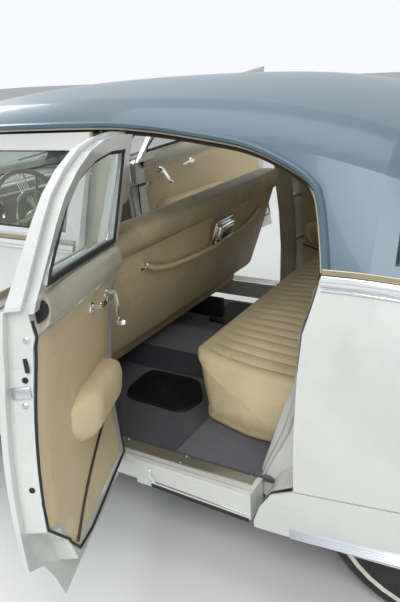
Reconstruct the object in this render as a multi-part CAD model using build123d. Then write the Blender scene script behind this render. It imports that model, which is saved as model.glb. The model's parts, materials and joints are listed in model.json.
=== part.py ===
from build123d import *
from math import cos, radians, sin, tan
import os

# Full-size four-door sedan of about 1950 with a low floor between its frame rails.
# Millimetres. +X forward, +Y to the car's left, +Z up. The origin is on the ground, on the
# centre plane, midway between the axles.

# Wheels and running gear
wheelbase = 3150.0
track_front = 1490.0
track_rear = 1470.0
tyre_radius = 365.0
tyre_width = 190.0
rim_radius = 205.0
rim_width = 150.0
hub_radius = 60.0
hub_bore_depth = 100.0
spindle_radius = 22.0
running_clearance = 0.06
fit_gap = 0.3

front_axle_x = wheelbase / 2
rear_axle_x = -wheelbase / 2

# Body side: where the panels end and how thick they are
door_gap = 10.0
door_top_gap = 14.0
panel_gap = 8.0
seam_gap = 4.0
door_thickness = 62.0
skin_thickness = 12.0
panel_thickness = 16.0
frame_thickness = 34.0
a_line_x = 640.0
b_line_x = -455.0
c_line_x = -1236.0
jamb_low_x = -1197.0
door_inset = 34.0
door_inner_y = 826.0
rocker_bottom_z = 265.0
rocker_top_z = 359.0
rocker_y = 912.0
rocker_inner_y = 822.0
door_bottom_z = 288.0

# Body heights
belt_z = 1062.0
drip_z = 1412.0
roof_z = 1541.0
floor_z = 230.0
floor_thickness = 20.0

# Door hinges
hinge_setback = 55.0
hinge_y = 957.0
hinge_z = 600.0
hinge_tilt = 8.5
hinge_heights = [655.0, 900.0]
pin_radius = 4.0
rear_left_rest = 66.0
front_right_rest = 66.0

# Hood and trunk lid
hood_rear_x = 948.0
hood_front_x = 2296.0
hood_half_rear = 640.0
hood_half_front = 380.0
trunk_front_x = -1905.0
trunk_rear_x = -2560.0
trunk_half_front = 600.0
trunk_half_rear = 470.0

# Ends of the body
nose_x = 2400.0
tail_x = -2700.0
bumper_front_x = 2485.0
bumper_rear_x = -2825.0
bumper_z = 440.0

# Seats
front_seat_half = 730.0
front_back_low_x = -290.0
front_back_low_z = 500.0
front_back_top_x = -470.0
front_back_top_z = 1056.0
front_back_thick = 140.0
front_cushion_front_x = 330.0
front_cushion_z = 540.0
rear_seat_half = 675.0
rear_cushion_front_x = -655.0
rear_cushion_z = 632.0
rear_back_low_x = -1175.0
rear_back_top_x = -1330.0
rear_back_top_z = 1050.0

# Outer body sections, nose to tail, as half sections:
# x, half width at the bottom, bottom height, greatest half width and its height,
# half width and height of the crease, half width and height of the belt, crown height
body_rows = [
    # x, y_low, z_low, y_max, z_max, y_hip, z_hip, y_belt, z_belt, z_crown
    (nose_x, 570, 385, 665, 570, 620, 710, 480, 775, 808),
    (2310, 705, 345, 800, 595, 748, 795, 560, 860, 900),
    (2130, 800, 290, 880, 610, 832, 865, 620, 925, 968),
    (1800, 870, 265, 935, 610, 882, 912, 690, 962, 1010),
    (front_axle_x - 200, 900, 255, 955, 600, 900, 940, 770, 1000, 1045),
    (a_line_x, 925, 255, 965, 600, 907, 955, 880, belt_z - 10, 1085),
    (b_line_x, 930, 255, 966, 600, 908, 965, 880, belt_z, 1098),
    (c_line_x, 925, 255, 953, 600, 898, 980, 876, belt_z, 1098),
    (-1700, 905, 262, 935, 600, 876, 955, 842, 1038, 1082),
    (-2150, 850, 290, 890, 590, 790, 860, 730, 935, 990),
    (-2480, 740, 330, 790, 570, 690, 760, 620, 815, 868),
    (tail_x, 600, 380, 640, 540, 560, 650, 500, 690, 730),
]

# Outer sections of the greenhouse, windshield base to the foot of the rear window:
# x, half width and height at the belt, half width and height of the drip rail, crown height
roof_rows = [
    # x, y_belt, z_belt, y_drip, z_drip, z_crown
    (948, 420, 1030, 380, 1062, 1096),
    (690, 800, 1040, 775, 1160, 1262),
    (430, 866, 1040, 745, 1375, 1478),
    (0, 878, 1040, 745, 1410, 1528),
    (-500, 880, 1040, 745, 1424, roof_z),
    (-1000, 878, 1040, 740, 1380, 1522),
    (-1350, 862, 1040, 722, 1300, 1450),
    (-1700, 780, 1040, 630, 1165, 1285),
    (-1900, 640, 1040, 480, 1075, 1118),
]


def body_section(row, inset=0.0, drop=0.0):
    """Closed half-and-mirror outline of the lower body in a plane across the car."""
    x, y_low, z_low, y_max, z_max, y_hip, z_hip, y_belt, z_belt, z_crown = row
    low = (y_low - inset, z_low - drop)
    widest = (y_max - inset, z_max)
    hip = (y_hip - inset, z_hip - inset * 0.25)
    belt = (y_belt - inset, z_belt - inset * 0.8)
    crown = z_crown - inset
    plane = Plane(origin=(x, 0, 0), x_dir=(0, 1, 0), z_dir=(1, 0, 0))
    with BuildSketch(plane) as sketch:
        with BuildLine():
            Line((-low[0], low[1]), (low[0], low[1]))
            ThreePointArc(low, widest, hip)
            Line(hip, belt)
            ThreePointArc(belt, (0, crown), (-belt[0], belt[1]))
            Line((-belt[0], belt[1]), (-hip[0], hip[1]))
            ThreePointArc((-hip[0], hip[1]), (-widest[0], widest[1]), (-low[0], low[1]))
        make_face()
    return sketch.sketch


def roof_section(row, inset=0.0, drop=0.0):
    """Closed outline of the greenhouse in a plane across the car."""
    x, y_belt, z_belt, y_drip, z_drip, z_crown = row
    foot = (y_belt - inset, z_belt - drop)
    drip = (y_drip - inset, z_drip - inset * 0.4)
    crown = z_crown - inset
    shoulder_y = drip[0] * 0.80
    shoulder_z = drip[1] + (crown - drip[1]) * 0.62
    mid = ((drip[0] + shoulder_y) / 2 + 12, (drip[1] + shoulder_z) / 2 + 10)
    plane = Plane(origin=(x, 0, 0), x_dir=(0, 1, 0), z_dir=(1, 0, 0))
    with BuildSketch(plane) as sketch:
        with BuildLine():
            Line((-foot[0], foot[1]), foot)
            Line(foot, drip)
            ThreePointArc(drip, mid, (shoulder_y, shoulder_z))
            ThreePointArc((shoulder_y, shoulder_z), (0, crown), (-shoulder_y, shoulder_z))
            ThreePointArc((-shoulder_y, shoulder_z), (-mid[0], mid[1]), (-drip[0], drip[1]))
            Line((-drip[0], drip[1]), (-foot[0], foot[1]))
        make_face()
    return sketch.sketch


def body_solid(inset=0.0, drop=0.0):
    return loft([body_section(row, inset, drop) for row in body_rows])


# The greenhouse is lofted in three spans: windshield, roof and rear window.
# first row, row after the last, straight between the rows
roof_spans = [(0, 3, True), (2, 7, False), (6, 9, True)]


def roof_solids(inset=0.0, drop=0.0):
    """The three spans of the greenhouse, each side moved in by the inset."""
    return [
        loft([roof_section(row, inset, drop) for row in roof_rows[first:last]], ruled=straight)
        for first, last, straight in roof_spans
    ]


def roof_layer(outside, inside):
    """A skin between two depths below the greenhouse's outer surface, open at its foot."""
    drop_out = 0.0 if outside == 0 else 60.0
    spans = [
        big - small
        for big, small in zip(roof_solids(outside, drop_out), roof_solids(inside, drop_out + 60.0))
    ]
    return spans[0] + spans[1] + spans[2]


def side_prism(points, y_from, y_to, rounding=0.0):
    """Prism across the car from a side-view outline of (x, z) points."""
    plane = Plane(origin=(0, y_from, 0), x_dir=(1, 0, 0), z_dir=(0, -1, 0))
    with BuildSketch(plane) as sketch:
        with BuildLine():
            Polyline(*points, close=True)
        make_face()
        if rounding > 0:
            fillet(sketch.vertices(), rounding)
    return extrude(sketch.sketch, amount=y_from - y_to)


def plan_prism(points, z_from, z_to):
    """Upright prism from a plan-view outline of (x, y) points."""
    with BuildSketch(Plane.XY.offset(z_from)) as sketch:
        with BuildLine():
            Polyline(*points, close=True)
        make_face()
    return extrude(sketch.sketch, amount=z_to - z_from)


def cross_prism(points, x_from, x_to):
    """Prism along the car from an outline of (y, z) points."""
    plane = Plane(origin=(x_from, 0, 0), x_dir=(0, 1, 0), z_dir=(1, 0, 0))
    with BuildSketch(plane) as sketch:
        with BuildLine():
            Polyline(*points, close=True)
        make_face()
    return extrude(sketch.sketch, amount=x_to - x_from)


def slab(x0, x1, y0, y1, z0, z1):
    return Pos((x0 + x1) / 2, (y0 + y1) / 2, (z0 + z1) / 2) * Box(x1 - x0, y1 - y0, z1 - z0)


def across(radius, length, x, y, z):
    """Cylinder lying across the car, centred on the point."""
    return Pos(x, y, z) * Rot(90, 0, 0) * Cylinder(radius, length)


def along(radius, length, x, y, z):
    """Cylinder lying along the car, centred on the point."""
    return Pos(x, y, z) * Rot(0, 90, 0) * Cylinder(radius, length)


def pipe(points, radius):
    """Round pipe through the points, with a ball at each bend."""
    ends = [Vector(*point) for point in points]
    result = None
    for start, end in zip(ends, ends[1:]):
        plane = Plane(origin=start, z_dir=end - start)
        leg = plane * Pos(0, 0, (end - start).length / 2) * Cylinder(radius, (end - start).length)
        result = leg if result is None else result + leg
    for bend in ends[1:-1]:
        result = result + Pos(bend.X, bend.Y, bend.Z) * Sphere(radius)
    return result


def mirrored(shape):
    return mirror(shape, about=Plane.XZ)


def largest(shape):
    """The biggest solid of a result, without the slivers that a cut can leave."""
    return max(shape.solids(), key=lambda s: s.volume)


parts = {}

# Shells of the body side at the door's whole thickness and at its skin, closed at both ends
outer = body_solid()
hollow = slab(tail_x + panel_thickness, nose_x - panel_thickness, -1100, 1100, 0, 1300)
door_core = body_solid(door_thickness, 60) & hollow
door_shell = outer - door_core
skin_shell = outer - (body_solid(skin_thickness, 60) & hollow)
panel_core = body_solid(panel_thickness, 60) & hollow
panel_shell = outer - panel_core
roof_shell = roof_layer(0, frame_thickness)
roof_skin = roof_layer(0, skin_thickness)

# Side-view outlines of the door openings. The rear one follows the wheel arch.
top_front = [(b_line_x, drip_z + 4), (0, drip_z - 8), (300, drip_z - 38), (392, drip_z - 74)]
top_rear = [(-646, drip_z - 2), (-813, drip_z - 20), (-976, drip_z - 46), (-1089, drip_z - 88), (-1160, drip_z - 132)]
front_outline = [
    (a_line_x, door_bottom_z),
    (a_line_x, belt_z - 30),
    (612, belt_z + 6),
] + top_front[::-1] + [(b_line_x, door_bottom_z)]
rear_outline = [(b_line_x, door_bottom_z), (b_line_x, drip_z + 4)] + top_rear + [
    (-1192, drip_z - 182),
    (-1222, belt_z + 66),
    (c_line_x, belt_z),
    (c_line_x + 2, belt_z - 22),
    (-1223, 988),
    (-1206, 921),
    (jamb_low_x - 4, 800),
    (jamb_low_x, 453),
    (-1123, 415),
    (-1086, 355),
    (-1062, door_bottom_z),
]


def shrink(points, front, rear, top, bottom):
    """Side-view outline pulled in by a distance at each of its four sides."""
    xs = [p[0] for p in points]
    mid_x = (max(xs) + min(xs)) / 2
    return [
        (x - front if x > mid_x else x + rear, z + bottom if z < 500 else (z - top if z > 1100 else z))
        for x, z in points
    ]


window_sill_z = belt_z + 28
window_frame_width = 62.0
window_top_z = drip_z - window_frame_width


def window_outline(is_front):
    """Side-view outline of a door's glass opening."""
    if is_front:
        return [
            (b_line_x + window_frame_width, window_sill_z),
            (b_line_x + window_frame_width, window_top_z),
            (0, window_top_z - 8),
            (290, window_top_z - 36),
            (545, window_sill_z + 30),
            (560, window_sill_z),
        ]
    return [
        (b_line_x - window_frame_width, window_sill_z),
        (b_line_x - window_frame_width, window_top_z),
        (-700, window_top_z - 6),
        (-870, window_top_z - 28),
        (-1000, window_top_z - 62),
        (-1090, window_top_z - 120),
        (-1148, window_sill_z + 30),
        (-1152, window_sill_z),
    ]


def door_body(outline, is_front):
    """Closed left-hand door: thin outer skin that laps the sill, and a thick inner part."""
    half = door_gap / 2
    lip_rear = half if is_front else door_gap
    lip = shrink(outline, half, lip_rear, door_top_gap, 0)
    inner = shrink(outline, half, door_inset, door_inset * 0.7, rocker_top_z + door_gap - door_bottom_z)
    lower_lip = side_prism(lip, 1100, 560)
    lower_inner = side_prism(inner, 1100, 560)
    skin = (skin_shell & lower_lip & slab(-1300, 900, 860, 1100, 200, belt_z - 6)) + (
        roof_skin & lower_lip & slab(-1300, 900, 500, 1100, belt_z - 8, 1500)
    )
    block = (door_shell & lower_inner & slab(-1300, 900, door_inner_y, 1100, 200, belt_z - 10)) + (
        roof_shell & lower_inner & slab(-1300, 900, 500, 1100, belt_z - 30, 1500)
    )
    return skin + block - side_prism(window_outline(is_front), 1100, 500)


glass_thickness = 6.0
glass_mid = roof_layer((frame_thickness - glass_thickness) / 2, (frame_thickness + glass_thickness) / 2)


def door_glass(is_front):
    """Raised window glass, just clear of the frame around it."""
    with BuildSketch(Plane(origin=(0, 1100, 0), x_dir=(1, 0, 0), z_dir=(0, -1, 0))) as sketch:
        with BuildLine():
            Polyline(*window_outline(is_front), close=True)
        make_face()
        offset(amount=-fit_gap, kind=Kind.INTERSECTION)
    return glass_mid & extrude(sketch.sketch, amount=600)


# Hinge axes, leaned in at the top by the tilt
hinge_x = {
    "front": a_line_x - door_gap / 2 - hinge_setback,
    "rear": b_line_x - door_gap / 2 - hinge_setback,
}
rest_angle = {
    ("front", "left"): 0.0,
    ("rear", "left"): rear_left_rest,
    ("front", "right"): front_right_rest,
    ("rear", "right"): 0.0,
}
arm_half = 8.0
eye_radius = 8.0
pin_length = 60.0
arm_reach = 100.0
arm_lean = 16.0


def hinge_place(row, height):
    """Frame on a left hinge axis at a height, with Z along the axis."""
    drop = (height - hinge_z) * tan(radians(hinge_tilt))
    return Pos(hinge_x[row], hinge_y - drop, height) * Rot(hinge_tilt, 0, 0)


def hinge_arm(row, height):
    """Fixed eye and pin on the axis, with an arm inwards to the pillar."""
    eye = Cylinder(eye_radius, 2 * arm_half) + Cylinder(pin_radius, pin_length)
    arm = Pos(8, -arm_reach / 2, 0) * Rot(0, 0, arm_lean) * Box(11, arm_reach, 2 * arm_half)
    return hinge_place(row, height) * (eye + arm)


def hinge_pocket(row, height):
    """Room in the door for the arm, open at the door's front edge, and the pin's bore."""
    room = Pos(30, -55, 0) * Box(90, 130, 2 * (arm_half + 1))
    bore = Cylinder(pin_radius + running_clearance, pin_length + 2)
    return hinge_place(row, height) * (room + bore)


def swing(shape, row, side, angle):
    """Turn a door about its hinge axis; a positive angle opens it."""
    sign = 1 if side == "left" else -1
    lean = radians(hinge_tilt)
    axis = Axis((hinge_x[row], sign * hinge_y, hinge_z), (0, -sign * sin(lean), cos(lean)))
    return shape.rotate(axis, -sign * angle)


door_solids = {}
glass_solids = {}
for row, outline in (("front", front_outline), ("rear", rear_outline)):
    door = largest(door_body(outline, row == "front"))
    for height in hinge_heights:
        door = door - hinge_pocket(row, height)
    door_solids[row] = largest(door)
    glass_solids[row] = largest(door_glass(row == "front"))
    for side in ("left", "right"):
        for kind, solid in (("door", door_solids[row]), ("glass", glass_solids[row])):
            shape = solid if side == "left" else mirrored(solid)
            parts[f"{kind}_{row}_{side}"] = swing(shape, row, side, rest_angle[row, side])

# Roof: the panel above the drip rail, the windshield posts and the broad rear pillars
door_holes = side_prism(
    [(x, z + (0 if z > 600 else -200)) for x, z in front_outline], 1100, -1100
) + side_prism([(x, z + (0 if z > 600 else -200)) for x, z in rear_outline], 1100, -1100)
roof_foot_z = belt_z + 4
roof_band = slab(-2000, 1000, -1000, 1000, roof_foot_z, 1600)
screen_plan = [(1000, 520), (860, 520), (690, 715), (470, 640), (400, 640)]
screen_side = [(1000, 1104), (860, 1104), (440, 1395), (470, 1452), (600, 1600), (1000, 1600)]
backlight_side = [(-1405, 1097), (-1398, 1255), (-1450, 1376), (-2000, 1376), (-2000, 1097)]


def screen_opening(margin):
    """Windshield opening, or its glass where the margin is more than nothing."""
    plan = [(x, y - margin) for x, y in screen_plan]
    side_points = [
        (x + (margin if x < 500 else 0), z + (margin if z < 1400 else -margin)) for x, z in screen_side
    ]
    side = side_prism(side_points, 800, -800)
    return side & plan_prism(plan + [(x, -y) for x, y in reversed(plan)], 1000, 1650)


def backlight_opening(margin):
    """Rear window opening, or its glass where the margin is more than nothing."""
    points = [(x - margin, z + (margin if z < 1200 else -margin)) for x, z in backlight_side]
    return side_prism(points, 1000, -1000)


roof = largest((roof_shell & roof_band) - door_holes - screen_opening(0) - backlight_opening(0))
parts["roof"] = roof
screen_glass = largest(glass_mid & screen_opening(fit_gap))
rear_glass = largest(glass_mid & backlight_opening(fit_gap))
parts["fixed_glass"] = Compound([screen_glass, rear_glass])

# Pillars behind the doors' meeting edges, set in where the doors' front edges swing
pillar_half = 40.0
pillar_depth = 42.0
pillar_face = [(865, rocker_top_z), (877, 600), (853, 800), (812, 950), (796, belt_z - 28)]
upper_face = frame_thickness + 28
pillar_outline = pillar_face + [(y - pillar_depth, z) for y, z in reversed(pillar_face)]
pillar_low = cross_prism(pillar_outline, b_line_x - pillar_half, b_line_x + pillar_half)
pillar_zone = slab(b_line_x - pillar_half, b_line_x + pillar_half, 300, 1000, belt_z - 40, drip_z + 38)
pillar_up = roof_layer(upper_face, upper_face + 28) & pillar_zone
pillar_head = roof_layer(frame_thickness + fit_gap, upper_face + 28) & pillar_zone & slab(
    b_line_x - pillar_half, b_line_x + pillar_half, 300, 1000, drip_z + 12, drip_z + 38
)
pillar = largest(pillar_low + pillar_up + pillar_head)
for height in hinge_heights:
    pillar = pillar + hinge_arm("rear", height)
pillar = largest(pillar)
parts["b_pillars"] = Compound([pillar, mirrored(pillar)])

# Front fenders, hood and cowl are cut from one surface
hood_plan = [
    (hood_rear_x, -hood_half_rear),
    (hood_rear_x, hood_half_rear),
    (hood_front_x, hood_half_front),
    (hood_front_x, -hood_half_front),
]


def grow(points, amount):
    """Plan outline of a lid moved out by a distance on every side."""
    mid_x = sum(p[0] for p in points) / len(points)
    return [(x + (amount if x > mid_x else -amount), y + (amount if y > 0 else -amount)) for x, y in points]


ledge_width = 22.0
ledge_core = body_solid(panel_thickness + 9, 60)
ledge_layer = body_solid(panel_thickness + fit_gap, 60) - ledge_core
root_layer = body_solid(panel_thickness - 6, 60) - ledge_core


def side_ledge(plan, x_from, x_to):
    """Left-hand ledge under the edge of a lid, part of the panel beside it."""
    zone = slab(x_from, x_to, 100, 1000, 500, 1250)
    edge = panel_gap / 2
    band = plan_prism(grow(plan, edge + 2), 500, 1250) - plan_prism(grow(plan, -ledge_width), 500, 1250)
    root = plan_prism(grow(plan, edge + 14), 500, 1250) - plan_prism(grow(plan, edge), 500, 1250)
    return (ledge_layer & band & zone) + (root_layer & root & zone)


parts["hood"] = largest(panel_shell & plan_prism(grow(hood_plan, -panel_gap / 2), 600, 1250))
arch_radius = 432.0
grille_half = 500.0
grille_rear_x = hood_front_x + panel_gap
lamp_y = 588.0
lamp_z = 690.0
lamp_radius = 84.0
pod_wall = 16.0
fender = panel_shell & slab(a_line_x + door_gap / 2, nose_x + 10, 0.5, 1100, 200, 1200)
fender = fender - plan_prism(grow(hood_plan, panel_gap / 2), 600, 1250)
fender = fender + side_ledge(hood_plan, hood_rear_x + 60, hood_front_x - 60)
fender = fender - across(arch_radius, 500, front_axle_x, 900, tyre_radius)
fender = fender - slab(a_line_x - 50, hood_rear_x - panel_gap / 2, -800, 800, 900, 1200)
fender = fender - slab(grille_rear_x - panel_gap, nose_x + 20, -grille_half, grille_half, 200, 1200)
fender = fender + (along(lamp_radius + pod_wall, 110, nose_x - 45, lamp_y, lamp_z) - panel_core)
fender = fender - along(lamp_radius + fit_gap, 400, nose_x, lamp_y, lamp_z)
fender = fender - slab(grille_rear_x - panel_gap, nose_x + 20, -grille_half, grille_half, 200, 1200)
fender = largest(fender)
parts["front_fender_left"] = fender
parts["front_fender_right"] = mirrored(fender)

# Cowl with the firewall and the front door posts
cowl_half = 800.0 - fit_gap
post_rear_x = a_line_x - pillar_half
post_front_x = a_line_x + 45
firewall_x = hood_rear_x - panel_gap
cowl = panel_shell & slab(a_line_x + door_gap / 2, firewall_x, -cowl_half, cowl_half, 960, 1200)
cowl = cowl + (outer & slab(firewall_x - 20, firewall_x, -780, 780, 432, 1200))
post = cross_prism(pillar_outline, post_rear_x, post_front_x)
for height in hinge_heights:
    post = post + hinge_arm("front", height)
kick_panel = slab(post_front_x - 2, firewall_x - 10, 764, 778, 432, 1056)
cowl = cowl + (kick_panel & panel_core) + mirrored(kick_panel & panel_core) + post + mirrored(post)
parts["cowl"] = largest(cowl - roof)

# Grille: the centre of the nose, open between its bars
grille = panel_shell & slab(grille_rear_x, nose_x, -grille_half + fit_gap, grille_half - fit_gap, 300, 1200)
grille_low_z = 445.0
grille_top_z = 665.0
grille_open_half = 460.0
bar_count = 4
grille = grille - slab(nose_x - 60, nose_x + 5, -grille_open_half, grille_open_half, grille_low_z, grille_top_z)
for i in range(bar_count):
    z = grille_low_z + (grille_top_z - grille_low_z) * (i + 0.5) / bar_count
    grille = grille + slab(nose_x - 14, nose_x - 2, -grille_open_half - 4, grille_open_half + 4, z - 11, z + 11)
parts["grille"] = largest(grille)

# Quarters: cabin wall, jamb and rear fender in one, cut open for the wheel behind its skirt
trunk_plan = [
    (trunk_rear_x, -trunk_half_rear),
    (trunk_rear_x, trunk_half_rear),
    (trunk_front_x, trunk_half_front),
    (trunk_front_x, -trunk_half_front),
]
skirt_bottom_z = 262.0
skirt_rear_x = -2080.0
skirt_top = [(jamb_low_x, 453), (-1487, 483), (-1700, 482), (skirt_rear_x, 440)]
skirt_front = [(-1062, skirt_bottom_z), (-1062, door_bottom_z), (-1086, 355), (-1123, 415)]
skirt_hole = skirt_front + skirt_top + [(skirt_rear_x, 150), (-1062, 150)]
skirt_ledge = 18.0
wheel_hole = [
    (-1000, 150), (-1000, 340), (-1190, 340), (jamb_low_x - 20, 420), (-1487, 483 - skirt_ledge),
    (-1700, 482 - skirt_ledge), (skirt_rear_x + skirt_ledge, 440 - skirt_ledge), (skirt_rear_x + skirt_ledge, 150),
]
deck_front_x = -1464.0
deck_half = 700.0
quarter = door_shell & slab(tail_x - 1, c_line_x + 190, 0.5, 1100, 200, 1200)
quarter = quarter - door_holes - side_prism(wheel_hole, 1100, 0)
quarter = quarter - (side_prism(skirt_hole, 1100, 0) - (body_solid(skin_thickness + fit_gap, 60) & hollow))
quarter = quarter - plan_prism(grow(trunk_plan, panel_gap / 2), 560, 1200)
quarter = quarter - slab(trunk_front_x, c_line_x + 200, -1, deck_half, 560, 1200)
quarter = quarter - slab(-1910, c_line_x + 200, -1, 1100, roof_foot_z - fit_gap, 1200)
quarter = quarter + side_ledge(trunk_plan, trunk_rear_x + 60, trunk_front_x - 40)
quarter = quarter - slab(tail_x - 5, trunk_rear_x - panel_gap / 2, -1, trunk_half_rear, 150, 1200)
tail_lamp_y = 545.0
tail_lamp_z = 560.0
tail_lamp_radius = 44.0
quarter = quarter - along(tail_lamp_radius + fit_gap, 100, tail_x, tail_lamp_y, tail_lamp_z)
quarter = largest(quarter)
parts["quarter_left"] = quarter
parts["quarter_right"] = mirrored(quarter)

skirt_edge = [(x - seam_gap, z) for x, z in skirt_front] + [(x, z - seam_gap) for x, z in skirt_top[:-1]]
skirt_edge += [(skirt_rear_x + seam_gap, 440 - seam_gap), (skirt_rear_x + seam_gap, skirt_bottom_z + 40)]
skirt = largest(skin_shell & side_prism(skirt_edge, 1100, 300))
parts["rear_skirts"] = Compound([skirt, mirrored(skirt)])

# Trunk lid, rear deck and tail panel
parts["trunk_lid"] = largest(panel_shell & plan_prism(grow(trunk_plan, -panel_gap / 2), 560, 1200))
tail_half = trunk_half_rear - fit_gap
tail = panel_shell & slab(tail_x, trunk_rear_x - panel_gap / 2, -tail_half, tail_half, 300, 1200)
parts["tail_panel"] = largest(tail)
deck = panel_shell & slab(
    trunk_front_x + panel_gap / 2, deck_front_x, -deck_half + fit_gap, deck_half - fit_gap, 950, 1200
)
parts["rear_deck"] = largest(deck - roof)

# Rockers: the sill boxes that stand higher than the floor, pocketed for the doors' swing
pocket_y = 896.0
rocker = slab(-1046, post_front_x, rocker_inner_y, rocker_y, rocker_bottom_z, rocker_top_z)
for x in (b_line_x, a_line_x):
    rocker = rocker - slab(x - 165, x + 50, pocket_y, rocker_y + 1, rocker_bottom_z - 1, rocker_top_z + 1)
parts["rockers"] = Compound([rocker, mirrored(rocker)])

# Floor pan with its tunnel, toe board, heel board and the deck under the rear seat
tunnel_half = 130.0
tunnel_z = 352.0
rail_y = 430.0
rail_half = 35.0
floor_front_x = 760.0
heel_x = -745.0
seat_deck_z = 366.0
seat_deck_rear_x = -1110.0
sheet = 16.0
floor_low_z = floor_z - floor_thickness
floor_pan = slab(heel_x, floor_front_x, -rocker_inner_y, rocker_inner_y, floor_low_z, floor_z)
floor_pan = floor_pan + slab(heel_x, floor_front_x, -tunnel_half, tunnel_half, floor_z - 1, tunnel_z)
floor_pan = floor_pan + slab(heel_x, heel_x + sheet, -rocker_inner_y, rocker_inner_y, floor_low_z, seat_deck_z)
floor_pan = floor_pan + slab(
    seat_deck_rear_x, heel_x + sheet, -rocker_inner_y, rocker_inner_y, seat_deck_z - sheet, seat_deck_z
)
floor_pan = floor_pan + side_prism([(740, floor_low_z), (760, floor_low_z), (919, 430), (899, 430)], 780, -780)
floor_pan = floor_pan - slab(
    seat_deck_rear_x - 10, 930, -tunnel_half + 12, tunnel_half - 12, 100, tunnel_z - 12
)
for side_y in (rail_y, -rail_y):
    floor_pan = floor_pan - slab(655, 940, side_y - rail_half - 3, side_y + rail_half + 3, 190, 440)
parts["floor_pan"] = floor_pan

# Chassis: two rails and their cross members
rail_top_z = floor_low_z - fit_gap
rail_rear_z = 495.0
rail_profile = [
    (2300, 410), (2300, 330), (1000, 330), (782, 255), (702, 120), (-1110, 120), (-1310, 415), (-1930, 415),
    (-2080, 340), (-2650, 340), (-2650, 410), (-2060, 410), (-1910, rail_rear_z), (-1260, rail_rear_z),
    (-1060, rail_top_z), (660, rail_top_z), (740, 320), (980, 410),
]
rail = side_prism(rail_profile, rail_y + rail_half, rail_y - rail_half)
exhaust_radius = 24.0
exhaust_y = -300.0
exhaust_z = 165.0
gearbox_low_z = 250.0
cross_front = slab(2180, 2240, -rail_y, rail_y, 335, 405)
cross_mid = slab(-80, -20, -rail_y, rail_y, 130, 200)
cross_mid = cross_mid - along(exhaust_radius + fit_gap, 200, -50, exhaust_y, exhaust_z)
cross_rear = slab(-2400, -2340, -rail_y, rail_y, 345, 405)
gearbox_bearer = slab(960, 1000, -rail_y, rail_y, gearbox_low_z - 25, gearbox_low_z - fit_gap)
for sign in (1, -1):
    near, far = sorted((sign * (rail_y - rail_half), sign * rail_y))
    gearbox_bearer = gearbox_bearer + slab(960, 1000, near, far, gearbox_low_z - 25, 345)
parts["chassis_frame"] = rail + mirrored(rail) + cross_front + cross_mid + cross_rear + gearbox_bearer

# Trunk floor on the rails, with the inner wheel arches
trunk_floor_z = rail_rear_z + fit_gap
wheelhouse_radius = 400.0
wheelhouse_y = 585.0
trunk_floor = slab(-2650, -1300, -540, 540, trunk_floor_z, trunk_floor_z + sheet)
arch_zone = slab(-2100, -1170, wheelhouse_y, 1000, trunk_floor_z, 900)
wheelhouse = across(wheelhouse_radius, 400, rear_axle_x, wheelhouse_y + 200, tyre_radius) - across(
    wheelhouse_radius - 12, 400, rear_axle_x, wheelhouse_y + 212, tyre_radius
)
wheelhouse = wheelhouse & arch_zone & (body_solid(door_thickness + fit_gap, 60) & hollow)
bridge = slab(-1960, -1300, 539, wheelhouse_y + 6, trunk_floor_z, trunk_floor_z + sheet)
trunk_floor = trunk_floor + largest(wheelhouse) + mirrored(largest(wheelhouse)) + bridge + mirrored(bridge)
parts["trunk_floor"] = largest(trunk_floor)

# Dashboard and steering
wheel_centre = (242.0, 348.0, 988.0)
wheel_tilt = 68.0
wheel_rim_radius = 213.0
column_radius = 19.0
column_length = (firewall_x - 20 - wheel_centre[0] - 10) / sin(radians(wheel_tilt))
spoke_count = 3
steer_place = Pos(*wheel_centre) * Rot(0, -wheel_tilt, 0)
rim = Torus(wheel_rim_radius, 10) + Cylinder(26, 40)
for i in range(spoke_count):
    rim = rim + Rot(0, 0, 90 + 360 / spoke_count * i) * Pos(wheel_rim_radius / 2, 0, 0) * Box(wheel_rim_radius, 14, 8)
column = Pos(0, 0, -column_length / 2) * Cylinder(column_radius, column_length)
parts["steering_column"] = steer_place * (rim + column)
dash_half = 750.0
dash_front_x = a_line_x + door_gap / 2 - fit_gap
dash = side_prism(
    [(548, 860), (580, 800), (dash_front_x, 800), (dash_front_x, 1080), (560, 1084), (528, 1020)],
    dash_half, -dash_half, 14,
)
dash = dash - steer_place * Pos(0, 0, -column_length / 2) * Cylinder(column_radius + fit_gap, column_length)
for sign in (1, -1):
    near, far = sorted((sign * 700, sign * (dash_half + 10)))
    dash = dash - slab(post_rear_x - fit_gap, dash_front_x + 1, near, far, 700, 1100)
parts["dashboard"] = largest(dash)

# Seats: plain closed forms
seat_base_z = tunnel_z + 6
front_back = side_prism(
    [
        (front_back_low_x, front_back_low_z),
        (front_back_top_x, front_back_top_z),
        (front_back_top_x + front_back_thick - 20, front_back_top_z),
        (front_back_low_x + front_back_thick + 20, front_back_low_z),
    ],
    front_seat_half, -front_seat_half, 36,
)
front_cushion = side_prism(
    [
        (front_back_low_x + 20, seat_base_z), (front_back_low_x + 20, front_cushion_z - 10),
        (front_cushion_front_x, front_cushion_z + 15), (front_cushion_front_x - 20, seat_base_z),
    ],
    front_seat_half, -front_seat_half, 34,
)
front_seat = front_back + front_cushion
for sign in (1, -1):
    near, far = sorted((sign * 300, sign * 340))
    front_seat = front_seat + slab(-200, 240, near, far, floor_z, seat_base_z + 1)
parts["front_seat"] = front_seat
rear_cushion = side_prism(
    [
        (-740, seat_deck_z + fit_gap), (rear_cushion_front_x, rear_cushion_z),
        (-1200, rear_cushion_z - 20), (-1200, 450), (-1112, seat_deck_z + fit_gap),
    ],
    rear_seat_half, -rear_seat_half, 24,
)
rear_back = side_prism(
    [
        (rear_back_low_x, 560), (rear_back_top_x, rear_back_top_z), (rear_back_top_x - 120, rear_back_top_z),
        (rear_back_low_x - 140, 560),
    ],
    rear_seat_half, -rear_seat_half, 30,
)
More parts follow.
